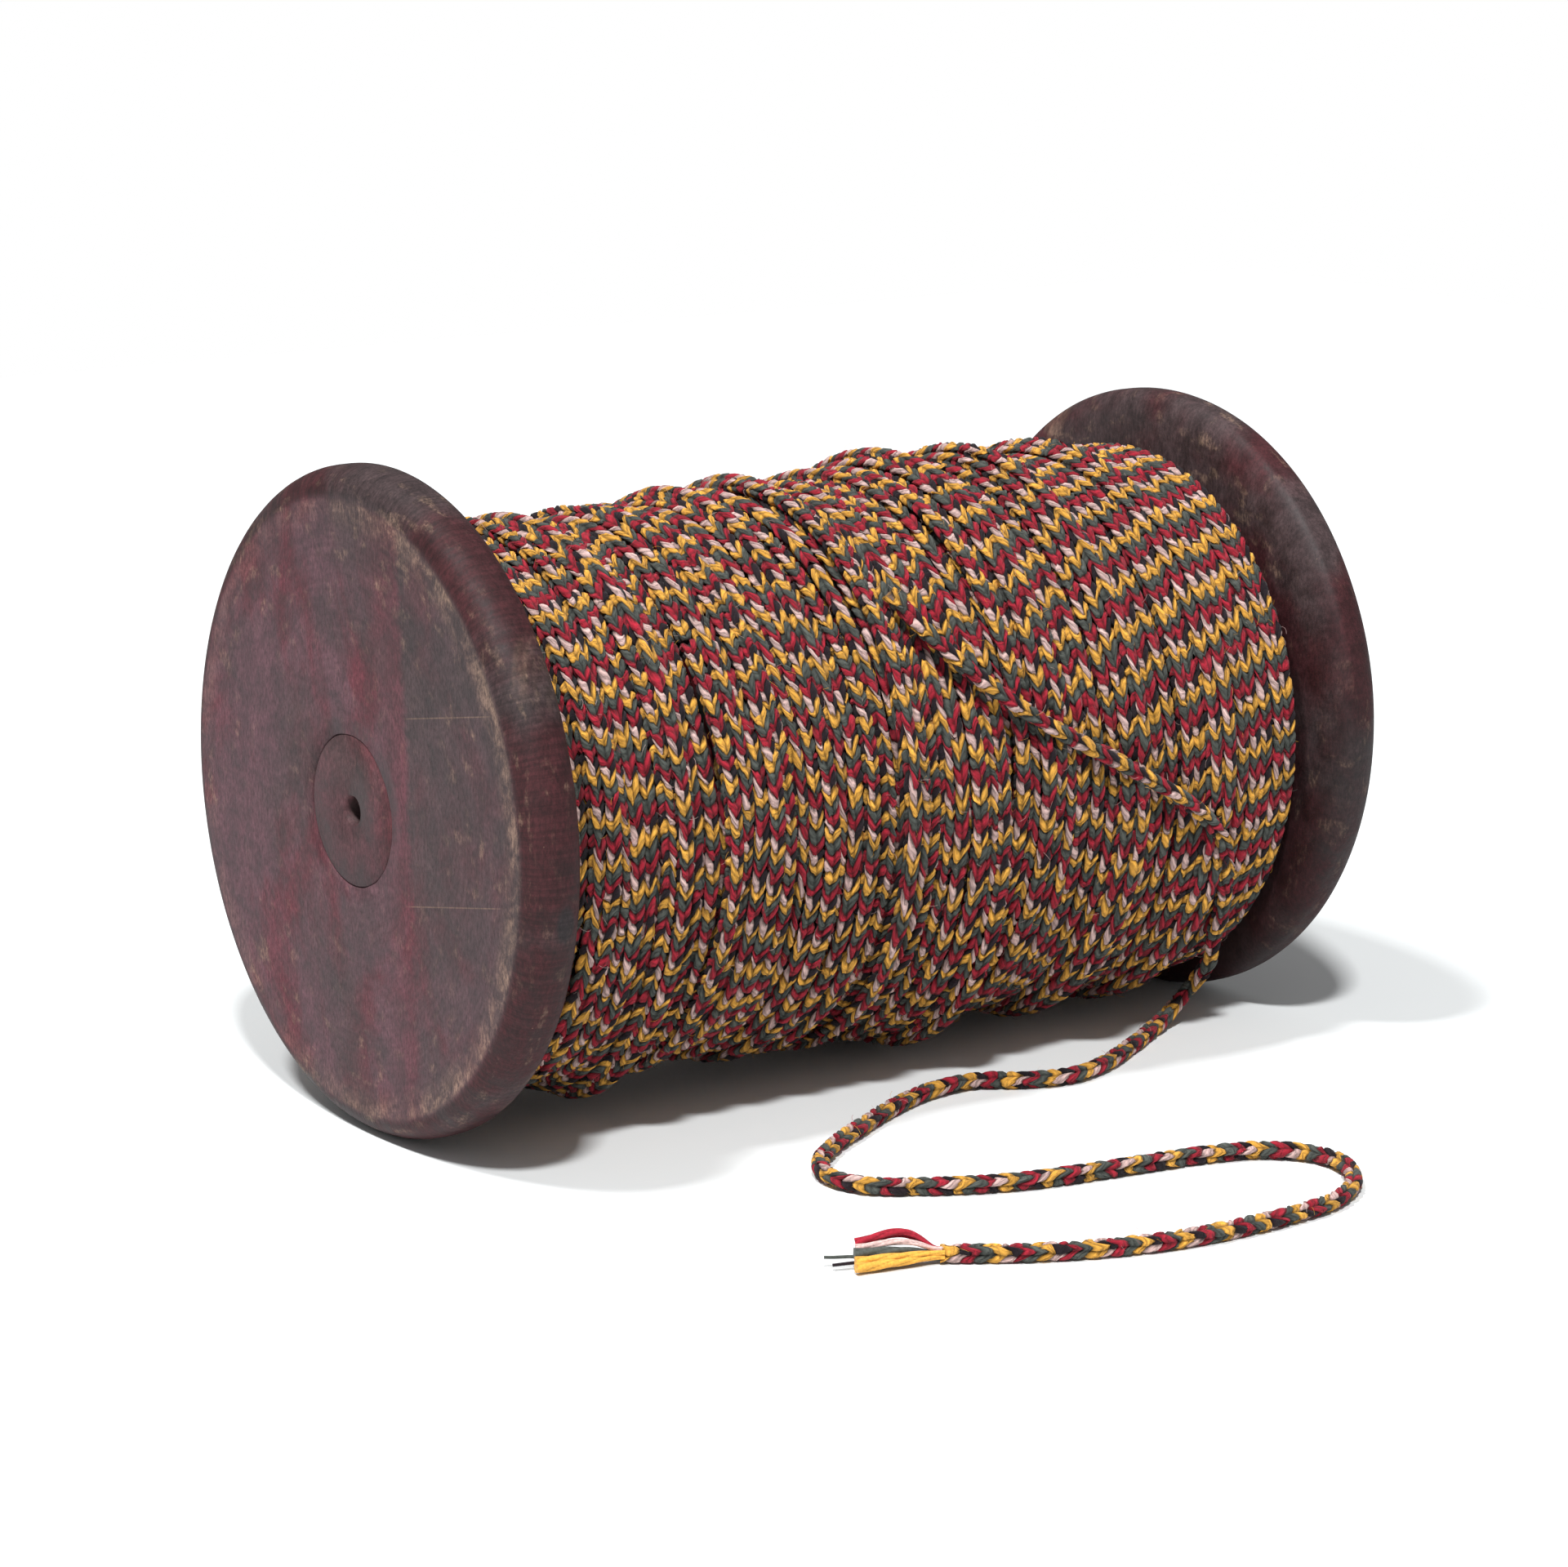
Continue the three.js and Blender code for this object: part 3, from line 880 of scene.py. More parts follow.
def stained_wood(name, finishes, face_x, seed, near=False, tone=(1.0, 1.0, 1.0)):
    """Old turned wood with uneven maroon stain: dark and bare patches, lathe marks, a worn edge, and on the
    far flange painted shade towards the bottom and painted light towards the top.
    """
    material, tree, shader = new_material(name, 0.66, 0.28)
    at = DiscPlaces(tree, face_x, seed)
    grain = noise(tree, 2400.0, 4.0, at.stretched(0.45), 0.75)
    mottle = noise(tree, 260.0, 5.0, at.moved, 0.68, 0.4)
    clouds = noise(tree, 62.0, 4.0, at.stretched(0.6), 0.6, 0.5)
    elsewhere = reckon_vector(tree, "ADD", at.moved, (0.3, 0.1, 0.7))
    patches = noise(tree, 38.0, 4.0, elsewhere, 0.58, 0.3)
    rings = noise(tree, 1.0, 3.0, at.on_disc(1500.0, 4.0, 900.0), 0.6)
    strokes = noise(tree, 1.0, 3.0, at.on_disc(420.0, 9.0, 420.0), 0.6)
    ticks = noise(tree, 1.0, 3.0, at.on_disc(60.0, 75.0, 40.0), 0.65)
    specks = noise(tree, 1300.0, 2.0, at.moved, 0.5)

    colour_now = blended(tree, between(tree, clouds, 0.44, 0.62), finishes.plum, finishes.maroon)
    dark_patches = between(tree, patches, 0.46, 0.66, 0.0, 0.75)
    colour_now = blended(tree, dark_patches, colour_now, finishes.charcoal)
    if near:
        colour_now = two_boards(tree, at, mottle, clouds, colour_now, finishes)

    # Rims and inner sides keep more of their stain, dark where hands have held them.
    edge = FLANGE_RADIUS - 3.8 * MM
    past_edge = between(tree, at.radius, edge, edge + 1.4 * MM)
    rim = reckon(tree, "MAXIMUM", past_edge, between(tree, at.depth, 0.5 * MM, 1.2 * MM))
    held = blended(tree, between(tree, patches, 0.46, 0.64, 0.0, 0.85), finishes.rim, finishes.charcoal)
    held = blended(tree, between(tree, clouds, 0.62, 0.78, 0.0, 0.5), held, finishes.bare_wood)
    colour_now = blended(tree, rim, colour_now, held)
    if near:
        colour_now = with_knot(tree, at, mottle, colour_now)

    brushed = times(tree, between(tree, strokes, 0.54, 0.72, 0.0, 0.5), between(tree, clouds, 0.34, 0.56))
    brushed = times(tree, brushed, between(tree, grain, 0.35, 0.65, 0.2, 1.0))
    worn = times(tree, brushed, between(tree, at.radius, 18 * MM, 38 * MM, 0.35, 1.0))
    if near:
        rubbed = rubbed_edge(tree, at, edge, mottle, grain)
        worn = reckon(tree, "MAXIMUM", times(tree, rubbed, 0.6), worn)
    worn = reckon(tree, "MAXIMUM", worn, between(tree, specks, 0.76, 0.82, 0.0, 0.35))
    if near:
        worn = scratched(tree, at, worn)
    colour_now = blended(tree, worn, colour_now, finishes.bare_wood)

    on_face = minus(tree, 1.0, rim)
    turned = times(tree, minus(tree, rings, 0.5), reckon(tree, "MULTIPLY_ADD", on_face, 0.8, 0.2))
    lit = between(tree, turned, -0.25, 0.25, 0.88, 1.12)
    lit = times(tree, lit, between(tree, grain, 0.25, 0.75, 0.58, 1.42))
    lit = times(tree, lit, between(tree, mottle, 0.3, 0.7, 0.64, 1.36))
    # Painted shade and light: on the far flange the colour is darker towards the bottom and lighter towards
    # the top.
    if not near:
        lit = times(tree, lit, between(tree, at.z, -10 * MM, 36 * MM, 0.56, 1.15))
    marked = between(tree, ticks, 0.35, 0.62, 0.7 if near else 0.92, 1.07)
    marked = add_node(tree, "ShaderNodeMix", {0: rim, 2: 1.0, 3: marked}, data_type="FLOAT").outputs[0]
    lit = times(tree, lit, marked)
    stain = reckon_vector(tree, "MULTIPLY", scaled(tree, colour_now, lit), tone)
    tree.links.new(stain, shader.inputs["Base Color"])
    tree.links.new(between(tree, mottle, 0.3, 0.7, 0.54, 0.74), shader.inputs["Roughness"])
    normal = bumped(tree, turned, 0.05 * MM, 0.6)
    normal = bumped(tree, grain, 0.05 * MM, 0.7, normal)
    normal = bumped(tree, mottle, 0.12 * MM, 0.5, normal)
    tree.links.new(normal, shader.inputs["Normal"])
    return material


# ---- turned wood ----


def rounded(start, end, steps, bulge_first):
    """Points of a quarter ellipse between two (radius, x) corners."""
    points = []
    for step in range(steps + 1):
        angle = step / steps * math.pi / 2
        leading, trailing = math.sin(angle), 1 - math.cos(angle)
        if not bulge_first:
            leading, trailing = trailing, leading
        radius = start[0] + (end[0] - start[0]) * leading
        x = start[1] + (end[1] - start[1]) * trailing
        points.append((radius, x))
    return points


def turned_mesh(name, profile, sides, shape=None):
    """A closed profile of (radius, x) turned round the bobbin's axis; shape may move its points."""
    profile = np.array(profile)
    angles = np.arange(sides) / sides * TAU
    radius = np.broadcast_to(profile[:, 0][:, None], (len(profile), sides)).copy()
    x = np.broadcast_to(profile[:, 1][:, None], (len(profile), sides)).copy()
    angle = np.broadcast_to(angles[None, :], radius.shape)
    if shape is not None:
        radius, x = shape(radius, x, angle)
    points = np.stack([x, radius * np.cos(angle), AXIS_HEIGHT + radius * np.sin(angle)], axis=2)
    faces = []
    rows = len(profile)
    for i in range(rows):
        j = (i + 1) % rows
        for k in range(sides):
            m = (k + 1) % sides
            faces.append((i * sides + k, j * sides + k, j * sides + m, i * sides + m))
    mesh = bpy.data.meshes.new(name)
    mesh.from_pydata(points.reshape(-1, 3).tolist(), [], faces)
    mesh.update()
    piece = bpy.data.objects.new(name, mesh)
    bpy.context.scene.collection.objects.link(piece)
    return piece


def faced_out(piece):
    """Turns the faces outwards, and shades them smooth."""
    work = bmesh.new()
    work.from_mesh(piece.data)
    bmesh.ops.recalc_face_normals(work, faces=work.faces)
    if work.calc_volume(signed=True) < 0:
        bmesh.ops.reverse_faces(work, faces=work.faces)
    work.to_mesh(piece.data)
    work.free()
    piece.data.shade_smooth()
    return piece


def finished(piece, material, slot, *nodes):
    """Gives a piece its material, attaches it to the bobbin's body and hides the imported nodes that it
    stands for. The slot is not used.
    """
    piece.data.materials.clear()
    piece.data.materials.append(material)
    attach(piece, BODY)
    if nodes:
        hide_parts(*nodes)
    return piece


# Inside this radius a flange's points belong to its hole, which has opened unevenly round the tenon.
HOLE_RIM = 11 * MM
HOLE_OPENS = 0.12 * MM


def wandering(seed, strength, rise=0.0):
    """Moves a turned surface a little in and out, as hand turning, wear and shrinking leave it."""

    def shape(radius, x, angle):
        draw = np.random.default_rng(seed)
        stray = np.zeros_like(radius)
        for waves in (1, 2, 3, 5, 8, 13):
            phase = draw.uniform(0, TAU)
            tilt = draw.uniform(40, 160)
            stray += np.sin(waves * angle + phase + tilt * radius * 2) / waves**0.7
        gap = 0.5 + 0.5 * np.sin(2 * angle + 0.9) + 0.35 * np.sin(7 * angle) + 0.2 * np.sin(17 * angle + 1)
        opened = np.where(radius < HOLE_RIM, HOLE_OPENS * np.clip(gap - 0.6, -0.6, 0.8), 0.0)
        taller = rise * (radius / FLANGE_RADIUS) ** 4 * np.maximum(0, np.sin(angle)) ** 2
        return radius + strength * stray * 0.35 + taller + opened, x + strength * stray * 0.3

    return shape


def flange_profile(sizes, outer_face, inner_face, hole, inner_edge):
    """Outline of one flange in (radius, x), from the hole round the rim and back."""
    into = 1 if inner_face > outer_face else -1
    rings, steps = 12, 10
    edge = FLANGE_RADIUS - sizes.face_edge
    inner_edge = FLANGE_RADIUS - inner_edge
    outer_shoulder = (FLANGE_RADIUS, outer_face + into * sizes.outer_round)
    inner_shoulder = (FLANGE_RADIUS, inner_face - into * sizes.inner_round)
    profile = [(hole, outer_face)]
    profile += [(hole + (edge - hole) * i / rings, outer_face) for i in range(1, rings)]
    profile += rounded((edge, outer_face), outer_shoulder, steps, True)
    profile += rounded(inner_shoulder, (inner_edge, inner_face), steps, False)
    profile += [(inner_edge + (hole - inner_edge) * i / rings, inner_face) for i in range(1, rings + 1)]
    return profile


# ---- the winding ----

# Places round the bobbin at which each turn is laid.
STATIONS = 72
# Where a few turns ride up over their neighbours, in millimetres along the axis, and how far they go back.
RIDES = ((-52, 1.0), (-38, 1.2), (-24, 1.2), (-10, 2.2), (2, 0.8), (12, 1.0), (26, 1.2), (41, 1.2))
# Fewer turns were laid towards the near flange, so that the winding is thinner there by this much.
THINNER_BY = 1.9 * MM
THINNER_FROM, THINNEST_AT = 30 * MM, -30 * MM
# The winding is neat beyond this place along the axis, and grows untidy over this reach before it.
UNTIDY_UP_TO, UNTIDY_REACH = 30 * MM, 45 * MM
# How untidy it is at that place, where 1 is the most.
UNTIDY_PART = 0.2
# A ride is spread over about this many turns.
RIDE_SPREAD = 1.1
# The last turns beside the far flange sink a little.
SUNK_BY, SUNK_WITHIN = 0.7 * MM, 2.0 * MM
# The slack turns hang lowest at this place along the axis. Their middles stay this far above the floor.
BELLY_AT, BELLY_REACH = 14 * MM, 30 * MM
CLEAR_BELOW = 2.0 * MM
# Room between the end turns and the flanges, and the depth from one layer to the next, in contacts.
FLANGE_GAP = 0.2 * MM
NESTED = 0.9
# Least distance from the middle of the last turn to that of the cord under it, in diameters.
PRESSED = 0.93


class Pile:
    """The cords laid so far, at each station round the bobbin: where along the axis and how far out."""

    def __init__(self, contact):
        self.contact = contact
        self.rows = [[] for _ in range(STATIONS)]

    def height(self, station, x, base):
        """How far out the middle of a cord lies here: on the base, or on the cords under it."""
        row = self.rows[station]
        if not row:
            return base
        laid = np.array(row)
        gap = np.abs(laid[:, 0] - x)
        near = gap < self.contact
        if not near.any():
            return base
        return max(base, (laid[near, 1] + np.sqrt(self.contact**2 - gap[near] ** 2)).max())

    def settle(self, station, x, base, slack):
        """The lowest place within a little slack to either side."""
        tries = x + slack * np.linspace(-1, 1, 9)
        cost = [self.height(station, t, base) + 0.35 * abs(t - x) for t in tries]
        best = int(np.argmin(cost))
        return tries[best], self.height(station, tries[best], base)


def lane_of(turn, turns, start, end):
    """Where along the axis each part of the layer lies, with its rides over its neighbours."""
    lane = start + (end - start) * turn / turns
    for place, back in RIDES:
        middle = (place * MM - start) / (end - start) * turns
        lane = lane + back * MM * np.exp(-(((turn - middle) / RIDE_SPREAD) ** 2)) * np.sign(end - start)
    return lane


def thinner(lane):
    """How much lower the winding is towards the near flange, where fewer turns were laid."""
    share = np.clip((THINNER_FROM - lane) / (THINNER_FROM - THINNEST_AT), 0, 1)
    return THINNER_BY * share * share * (3 - 2 * share)


def restless(lane):
    """How untidy the winding is along its length: loose at the near end, neat beside the far flange."""
    return np.clip(UNTIDY_PART + 0.9 * (UNTIDY_UP_TO - lane) / UNTIDY_REACH, 0.1, 1.0)


def lay_turns(pile, lane, base, slack, seed):
    """Winds the turns along the lane. Returns each point's x, angle and distance from the axis."""
    at = np.arange(len(lane)) / STATIONS
    untidy = restless(lane)
    edge = np.abs(lane).max()
    slow_stray = slow_noise(seed, at, period=3.3, strength=0.6 * MM)
    quick_stray = slow_noise(seed + 1, at, period=0.9, strength=0.3 * MM)
    lane = lane + untidy * (slow_stray + quick_stray)
    lane = np.clip(lane, -edge, edge)
    far = np.full(len(lane), base)
    for n in range(len(lane)):
        sunk = SUNK_BY * math.exp(-(((edge - lane[n]) / SUNK_WITHIN) ** 2))
        rest = base - thinner(lane[n]) - sunk
        lane[n], far[n] = pile.settle(n % STATIONS, lane[n], rest, slack * (0.3 + 0.7 * float(untidy[n])))
        pile.rows[n % STATIONS].append((lane[n], far[n]))
    angle = math.pi / 2 - TAU * at
    return smoothed(lane, 2), angle, smoothed(far, 2)


def out_of_the_way(points, route, room):
    """Presses the winding in where the last turn lies across it."""
    away = outward(points)
    for i, point in enumerate(points):
        gap = np.linalg.norm(route - point, axis=1).min()
        if gap < room:
            points[i] = point - away[i] * (room - gap)
    return points


def winding_points(lane, angle, far, slackness):
    """Points of the wound cord, with the slack turns hanging low."""
    belly = 0.86 + 0.2 * np.exp(-(((lane - BELLY_AT) / BELLY_REACH) ** 2))
    belly = belly + slow_noise(5, lane, period=21 * MM, strength=0.05)
    far = far + slackness * belly * sag_at(angle)
    far = np.minimum(far, (AXIS_HEIGHT - CLEAR_BELOW) / np.maximum(-np.sin(angle), 0.3))
    return np.stack([lane, -far * np.cos(angle), AXIS_HEIGHT + far * np.sin(angle)], axis=1)


# A long cord's texture is laid out in this many rows.
TEXTURE_ROWS = 24


def cord_pieces(rule, name, points, facing, marks, sizes, material, pieces, rings, sides, lean):
    """Cuts a long cord into pieces of whole stitches and braids each one. Returns the pieces.

    The marks say which stitch each point of the cord comes to."""
    stitches = int(marks[-1])
    cuts = [round(stitches * i / pieces) for i in range(pieces + 1)]
    made = []
    for number, (first, last) in enumerate(zip(cuts, cuts[1:]), 1):
        where = np.linspace(first, last, (last - first) * 2 + 1)
        part = np.stack([np.interp(where, marks, points[:, k]) for k in range(3)], axis=1)
        part_facing = np.stack([np.interp(where, marks, facing[:, k]) for k in range(3)], axis=1)
        part_name = name if pieces == 1 else f"{name}_{number}"
        piece = rule.run(
            ruler(part_name, where, part, part_facing),
            part_name,
            Diameter=sizes.diameter,
            Lean=lean,
            Relief=sizes.relief,
            Unevenness=sizes.unevenness,
            First_Stitch=float(first),
            Rings=(last - first) * rings + 1,
            Sides=sides,
            Material=material,
        )
        map_rows(piece, sides, TEXTURE_ROWS)
        made.append(piece)
    return made


# ---- the frayed end and the studio ----

# Where round the core of the braid the first yarn comes out, in radians.
FIRST_YARN_ANGLE = -0.45
# Name, colour, place round the core of the braid, tip (along, sideways, height of the underside), how much
# it opens out, and how far it bows upwards (mm).
YARN_ENDS = (
    ("yarn_end_yellow_1", "yellow", 0, (9.6, 4.2, 0.4), 1.3, 0.0),
    ("yarn_end_yellow_2", "yellow", 1, (9.6, 3.1, 0.8), 1.3, 0.1),
    ("yarn_end_pink", "pink", 2, (9.5, 0.9, 2.0), 0.7, 0.9),
    ("yarn_end_red_1", "red", 3, (9.5, -0.1, 2.3), 0.9, 1.9),
    ("yarn_end_red_2", "red", 4, (9.2, -0.9, 2.0), 0.7, 1.8),
    ("yarn_end_black", "black", 5, (12.4, 2.6, 0.6), -0.3, 0.1),
    ("yarn_end_green_1", "green", 6, (13.4, 1.4, 1.2), -0.3, 0.2),
    ("yarn_end_green_2", "green", None, (9.7, 1.9, 1.4), 1.5, 0.4),
)
# The yarns start this far inside the end of the braid, and leave it this far beyond.
ROOT_DEPTH, FANS_OUT_AT = 1.6 * MM, 0.8 * MM
# How far from the middle of the braid they lie, in diameters.
CORE_SHARE = 0.30
# How quickly the plies go round a yarn: radians of their three-fold pattern for each metre.
PLY_TWIST = 1500.0

CAMERA_PLACE = (-0.36257, -0.50739, 0.18392)
CAMERA_VIEW = (0.5647, 0.7936, -0.2264)
LENS, SENSOR = 103.33, 36
# Half the width of the floor.
FLOOR_REACH = 0.7
# What the lights are aimed at, and each one's name, place, size and power.
LIT_PLACE = Vector((0, -0.02, 0.04))
LIGHTS = (
    ("overhead_softbox", (-1.8, 0.0, 4.0), 0.5, 132.0),
    ("front_softbox", (-1.6, -2.2, 4.0), 0.4, 205.0),
)
# How bright the surroundings are, to the lit things and to the camera.
FILL, BACKDROP = 0.3, 1.0
# How many times paler than the flanges the barrel's wood is, in red, green and blue.
BARREL_TONE = (1.38, 1.15, 1.12)


# ---- operators ----


class Maker:
    """What every operator here shares."""

    bl_options = {"REGISTER", "UNDO"}

    def execute(self, context):
        scene = context.scene
        self.make(scene.bobbin_wood, scene.bobbin_cord, scene.bobbin_finishes)
        return {"FINISHED"}


class BOBBIN_OT_stage(Maker, bpy.types.Operator):
    """Sets up the camera, the pale floor and the soft studio light"""

    bl_idname = "bobbin.stage"
    bl_label = "Set the Stage"

    def make(self, wood, cord, finishes):
        self.camera()
        self.floor(finishes)
        self.lights()

    def camera(self):
        data = bpy.data.cameras.new("studio_camera")
        data.lens = LENS
        data.sensor_width = SENSOR
        data.sensor_fit = "HORIZONTAL"
        camera = bpy.data.objects.new("studio_camera", data)
        bpy.context.scene.collection.objects.link(camera)
        camera.location = CAMERA_PLACE
        camera.rotation_euler = Vector(CAMERA_VIEW).to_track_quat("-Z", "Y").to_euler()
        bpy.context.scene.camera = camera

    def floor(self, finishes):
        mesh = bpy.data.meshes.new("studio_floor")
        corners = [(FLOOR_REACH * x, FLOOR_REACH * y, 0) for x, y in ((-1, -1), (1, -1), (1, 1), (-1, 1))]
        mesh.from_pydata(corners, [], [(0, 1, 2, 3)])
        floor = bpy.data.objects.new("studio_floor", mesh)
        bpy.context.scene.collection.objects.link(floor)
        material, _, shader = new_material("pale_floor", 0.85, 0.1)
        shader.inputs["Base Color"].default_value = (*finishes.floor, 1)
        mesh.materials.append(material)

    def lights(self):
        scene = bpy.context.scene
        world = bpy.data.worlds.new("studio")
        world.use_nodes = True
        tree = world.node_tree
        back = tree.nodes["Background"]
        back.inputs["Color"].default_value = (1, 1, 1, 1)
        seen = add_node(tree, "ShaderNodeLightPath").outputs["Is Camera Ray"]
        tree.links.new(between(tree, seen, 0.0, 1.0, FILL, BACKDROP), back.inputs["Strength"])
        scene.world = world
        scene.view_settings.view_transform = "Standard"
        for name, place, size, power in LIGHTS:
            data = bpy.data.lights.new(name, "AREA")
            data.size = size
            data.energy = power
            lamp = bpy.data.objects.new(name, data)
            scene.collection.objects.link(lamp)
            lamp.location = place
            lamp.rotation_euler = (LIT_PLACE - Vector(place)).to_track_quat("-Z", "Y").to_euler()


class BOBBIN_OT_loose_cord(Maker, bpy.types.Operator):
    """Lays the last turn over the winding and the loose end over the floor"""

    bl_idname = "bobbin.loose_cord"
    bl_label = "Lay the Loose Cord"

    def make(self, wood, cord, finishes):
        route = loose_route(cord.diameter / 2)
        line, at = smooth_through(route, 0.6 * MM)
        # The braid faces out from the bobbin to begin with, and upwards once it has left it.
        on_bobbin = np.clip(1 - (at - 60 * MM) / (25 * MM), 0, 1)[:, None]
        facing = outward(line) * on_bobbin + UP * (1 - on_bobbin)
        roll = slow_noise(11, at, period=120 * MM, strength=0.9)
        facing = facing_turned(line, facing, roll)
        material = braided_cord(finishes)
        marks = at / cord.stitch
        (piece,) = cord_pieces(
            braid_tree(),
            "loose_cord_braid",
            line,
            facing,
            marks,
            cord,
            material,
            pieces=1,
            rings=5,
            sides=24,
            lean=cord.loose_lean,
        )
        faced_out(finished(piece, material, "braided_cord", "loose_cord"))


class BOBBIN_OT_winding(Maker, bpy.types.Operator):
    """Winds the two outermost layers of cord"""

    bl_idname = "bobbin.winding"
    bl_label = "Wind the Cord"

    def make(self, wood, cord, finishes):
        rule = braid_tree()
        material = braided_cord(finishes)
        edge = INNER_FACE - cord.diameter / 2 - FLANGE_GAP
        surface = WINDING_RADIUS - cord.diameter / 2
        base = surface - cord.contact * NESTED
        pile = Pile(cord.contact)
        steps = np.arange(cord.under_turns * STATIONS + 1) / STATIONS
        lane = edge - 2 * edge * steps / cord.under_turns
        laid = lay_turns(pile, lane, base, slack=0.3 * MM, seed=21)
        coarse = {"pieces": 2, "rings": 2, "sides": 12}
        self.braid(rule, "under_turns", laid, 0.55, cord, material, UNDER_LAYER, coarse)
        steps = np.arange(cord.outer_turns * STATIONS + 1) / STATIONS
        lane = np.clip(lane_of(steps, cord.outer_turns, -edge, edge), -edge, edge)
        laid = lay_turns(pile, lane, base, slack=0.6 * MM, seed=33)
        fine = {"pieces": 5, "rings": 3, "sides": 16}
        self.braid(rule, "outer_turns", laid, 1.0, cord, material, OUTER_LAYER, fine)

    def braid(self, rule, name, laid, slackness, cord, material, node, fineness):
        lane, angle, far = laid
        points = winding_points(lane, angle, far, slackness)
        route, _ = smooth_through(loose_route(cord.diameter / 2)[: len(LAST_TURN)], 1 * MM)
        points = out_of_the_way(points, route, cord.diameter * PRESSED)
        turns = np.arange(len(points)) / STATIONS
        roll = slow_noise(41, turns, period=2.6, strength=1.1) * restless(lane)
        roll = roll + slow_noise(43, turns, period=0.7, strength=0.5)
        facing = facing_turned(points, outward(points), roll)
        # Where the turns are neat each takes the same number of stitches, so that their colours line up.
        loose = np.clip((restless(lane[1:]) - UNTIDY_PART) / 0.4, 0, 1)
        steps = np.linalg.norm(np.diff(points, axis=0), axis=1)
        each = loose * steps / cord.stitch + (1 - loose) * cord.turn_stitches / STATIONS
        # In the loose part the braid was let out unevenly, so that the colours fall at random.
        drift = slow_noise(47, turns, period=1.15, strength=3.0)
        drift = drift + slow_noise(48, turns, period=2.7, strength=3.0)
        each = each + loose * np.diff(drift)
        marks = np.concatenate([[0], np.cumsum(each)])
        for piece in cord_pieces(
            rule, name, points, facing, marks, cord, material, lean=cord.lean, **fineness
        ):
            finished(piece, material, "braided_cord", node)
            faced_out(piece)


class BOBBIN_OT_stray_fibres(Maker, bpy.types.Operator):
    """Raises stray fibres on the visible cord"""

    bl_idname = "bobbin.stray_fibres"
    bl_label = "Raise Stray Fibres"

    def make(self, wood, cord, finishes):
        rule = fibre_tree()
        material = fibre_material(finishes)
        seen = ("outer_turns", "loose_cord_braid")
        cords = [name for name in bpy.data.objects.keys() if name.startswith(seen)]
        for seed, name in enumerate(sorted(cords), 1):
            piece = rule.run(
                bpy.data.objects[name].data,
                name + "_fibres",
                Density=cord.fuzz_density,
                Length=cord.fuzz_length,
                Radius=cord.fuzz_radius,
                Seed=seed,
                Material=material,
            )
            finished(piece, material, "braided_cord")


class BOBBIN_OT_yarn_ends(Maker, bpy.types.Operator):
    bl_idname = "bobbin.yarn_ends"
    bl_label = "Fray the End"

    def make(self, wood, cord, finishes):
        rule = yarn_tree()
        route = loose_route(cord.diameter / 2)
        line, at = smooth_through(route, 0.6 * MM)
        end = line[-1]
        along = (route[-1] - route[-2]) * np.array([1, 1, 0])
        along /= np.linalg.norm(along)
        side = np.cross(UP, along)
        reach = cord.diameter * CORE_SHARE
        for name, tint, turn, tip, flare, bow in YARN_ENDS:
            angle = FIRST_YARN_ANGLE + (0 if turn is None else turn / 7 * TAU)
            off = 0 if turn is None else reach
            root = end - along * ROOT_DEPTH + side * off * math.cos(angle) + UP * off * math.sin(angle)
            last = end + along * tip[0] * MM + side * tip[1] * MM
            last[2] = tip[2] * MM + cord.yarn_radius * (1 + max(0.0, flare)) * 0.8
            out = end + along * FANS_OUT_AT + (root - end) * 0.9
            middle = out * 0.6 + last * 0.4 + UP * bow * MM
            points, yarn_at = smooth_through(np.array([root, out, middle, last]), 0.2 * MM)
            facing = facing_turned(points, np.tile(UP, (len(points), 1)), np.zeros(len(points)))
            material = loose_yarn("yarn_" + tint, getattr(finishes, tint))
            piece_name = name.replace("yarn_end", "frayed")
            piece = rule.run(
                ruler(piece_name, yarn_at, points, facing),
                piece_name,
                Radius=cord.yarn_radius,
                Twist=PLY_TWIST,
                Flare=flare,
                Rings=max(12, int(yarn_at[-1] / (0.25 * MM))),
                Sides=18,
                Material=material,
            )
            faced_out(finished(piece, material, "yarn_" + tint, name))


class BOBBIN_OT_wood(Maker, bpy.types.Operator):
    """Turns the two flanges and the barrel"""

    bl_idname = "bobbin.wood"
    bl_label = "Turn the Wood"

    def make(self, wood, cord, finishes):
        glue_gap = 0.04 * MM
        hole = wood.tenon_radius + glue_gap
        for name, outer_face, inner_face, inner_edge, rise, seed in (
            ("near_flange", -HALF_LENGTH, -INNER_FACE, wood.near_inner_edge, wood.rise, 3),
            ("far_flange", HALF_LENGTH, INNER_FACE, wood.far_inner_edge, 0.0, 8),
        ):
            profile = flange_profile(wood, outer_face, inner_face, hole, inner_edge)
            piece = turned_mesh(name + "_turned", profile, wood.sides, wandering(seed, wood.unevenness, rise))
            material = stained_wood(name + "_wood", finishes, outer_face, seed, name == "near_flange")
            finished(faced_out(piece), material, "stained_wood", name)
        self.barrel(wood, finishes)

    def barrel(self, wood, finishes):
        shoulder = INNER_FACE - 0.05 * MM
        end = HALF_LENGTH - 0.03 * MM
        soft = 0.25 * MM
        half = [
            (wood.bore_radius + soft, -end),
            (wood.tenon_radius - soft, -end),
            (wood.tenon_radius, -end + soft),
            (wood.tenon_radius, -shoulder),
            (wood.barrel_radius, -shoulder),
        ]
        bore = [(wood.bore_radius, end - soft), (wood.bore_radius, -end + soft)]
        profile = half + [(r, -x) for r, x in reversed(half)] + bore
        piece = turned_mesh("barrel_turned", profile, wood.sides // 2)
        material = stained_wood("barrel_wood", finishes, -HALF_LENGTH, 5, tone=BARREL_TONE)
        finished(faced_out(piece), material, "barrel_wood", "barrel")


